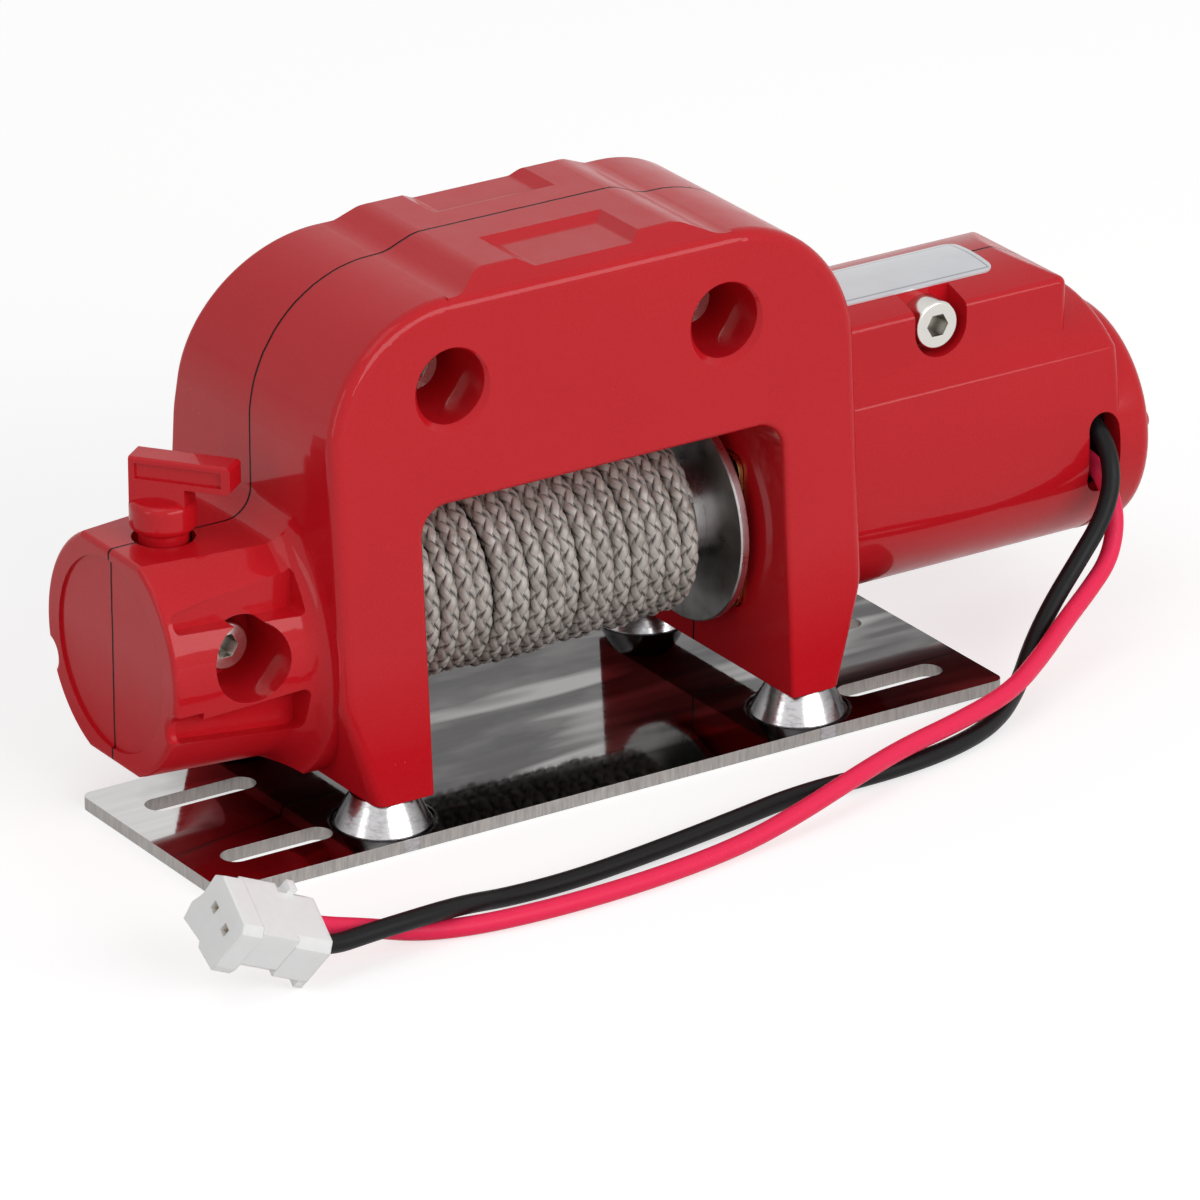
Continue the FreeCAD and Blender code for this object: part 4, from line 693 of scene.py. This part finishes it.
def dress_nodes():
    dress(gloss_paint("candy_red_paint", True), "front_housing", "rear_housing")
    dress(gloss_paint("lever_red_paint", False), "clutch_lever")
    dress(polished_plate(), "mounting_plate")
    dress(socket_steel(), "housing_screws", "rear_screws", "foot_screws")
    dress(sticker(), "label_plate")
    dress(metal("bush_bronze", (0.55, 0.38, 0.18), 0.35), "left_bush", "motor_front_bearing")
    dress(metal("bearing_brass", (0.72, 0.50, 0.18), 0.28, 0.3, (1, 1, 0.2)), "right_bearing", "motor_sun_gear")
    dress(turned_aluminium(), "drum_barrel", "drum_flange_left", "drum_flange_right")
    dress(plastic("white_nylon", (0.97, 0.97, 0.965), 0.34, 0.9, 0.006, 0.35, 1.0), "connector_housing")
    dress(metal("gold_plate", (0.86, 0.58, 0.20), 0.25, 0.2), "connector_contacts")
    dress(metal("gear_steel", (0.52, 0.52, 0.53), 0.32, 0.3), "drive_shaft", "clutch_cam_pin", "shift_fork",
          "dog_collar", "gearbox_plate", "output_carrier", "output_planet_pins", "input_planet_pins",
          "motor_shaft", "output_planet_a", "output_planet_b", "output_planet_c")
    dress(plastic("gear_plastic", (0.84, 0.83, 0.77), 0.42), "ring_gear", "middle_carrier", "output_sun_gear",
          "input_planet_a", "input_planet_b", "input_planet_c")
    dress(metal("can_steel", (0.62, 0.63, 0.64), 0.3, 0.4, (1, 0.2, 0.2)), "motor_can")
    dress(plastic("bell_plastic", (0.035, 0.035, 0.038), 0.45), "motor_end_bell")
    dress(metal("winding_copper", (0.70, 0.30, 0.16), 0.35, 0.25), "motor_commutator", "motor_terminals")
    dress(metal("dark_iron", (0.20, 0.20, 0.21), 0.5, 0.5), "motor_armature", "motor_magnets")


def lamp(name, place, size, power):
    data = bpy.data.lights.new(name, "AREA")
    data.shape = "RECTANGLE"
    data.size, data.size_y = size
    data.energy = power
    obj = bpy.data.objects.new(name, data)
    bpy.context.scene.collection.objects.link(obj)
    obj.location = place
    obj.rotation_euler = (Vector(lamp_target) - Vector(place)).to_track_quat("-Z", "Y").to_euler()


def seen_directly(tree):
    """Share that is 1 for the camera, mirror and glass rays, and 0 for light that falls on things."""
    path = tree.nodes.new("ShaderNodeLightPath")
    total = path.outputs["Is Camera Ray"]
    for name in ("Is Glossy Ray", "Is Transmission Ray"):
        larger = tree.nodes.new("ShaderNodeMath")
        larger.operation = "MAXIMUM"
        tree.links.new(total, larger.inputs[0])
        tree.links.new(path.outputs[name], larger.inputs[1])
        total = larger.outputs[0]
    return total


def white_world():
    """World that looks white, and lights the object at world_level."""
    world = bpy.data.worlds.new("white_room")
    bpy.context.scene.world = world
    world.use_nodes = True
    tree = world.node_tree
    background = tree.nodes["Background"]
    background.inputs["Color"].default_value = (1, 1, 1, 1)
    strength = tree.nodes.new("ShaderNodeMapRange")
    strength.inputs["To Min"].default_value = world_level
    strength.inputs["To Max"].default_value = 1.0
    tree.links.new(seen_directly(tree), strength.inputs["Value"])
    tree.links.new(strength.outputs[0], background.inputs["Strength"])


def floor_paper():
    """Pale paper that takes the object's shadow, and glows where it is seen directly."""
    material = bpy.data.materials.new("pale_floor")
    material.use_nodes = True
    tree = material.node_tree
    shader = tree.nodes["Principled BSDF"]
    shader.inputs["Base Color"].default_value = floor_tone
    shader.inputs["Roughness"].default_value = floor_roughness
    shader.inputs["Specular IOR Level"].default_value = 0.0
    shader.inputs["Emission Color"].default_value = (1, 1, 1, 1)
    glow = tree.nodes.new("ShaderNodeMath")
    glow.operation = "MULTIPLY"
    glow.inputs[1].default_value = floor_glow
    tree.links.new(seen_directly(tree), glow.inputs[0])
    tree.links.new(glow.outputs[0], shader.inputs["Emission Strength"])
    return material


def pale_floor():
    corners = [(x * floor_half, y * floor_half, floor_level) for x, y in ((-1, -1), (1, -1), (1, 1), (-1, 1))]
    mesh = bpy.data.meshes.new("floor")
    mesh.from_pydata(corners, [], [(0, 1, 2, 3)])
    mesh.materials.append(floor_paper())
    floor = bpy.data.objects.new("floor", mesh)
    bpy.context.scene.collection.objects.link(floor)


def studio():
    bpy.context.scene.view_settings.view_transform = "Standard"
    white_world()
    pale_floor()
    for name, values in lamps.items():
        lamp(name, **values)


place_camera()
black = wire("black_lead", "black_wire", black_route)
red = wire("red_lead", "red_wire", red_route)
black_jacket = silicone("black_silicone", (0.009, 0.009, 0.010), (0.005, 0.005, 0.006), (0.08, 0.08, 0.08))
red_jacket = silicone("red_silicone", (0.98, 0.034, 0.115), (0.94, 0.026, 0.098), (1.0, 0.34, 0.40))
black.data.materials.append(black_jacket)
red.data.materials.append(red_jacket)
wound_rope()
rope_layers()
dress_nodes()
studio()

bpy.context.view_layer.update()
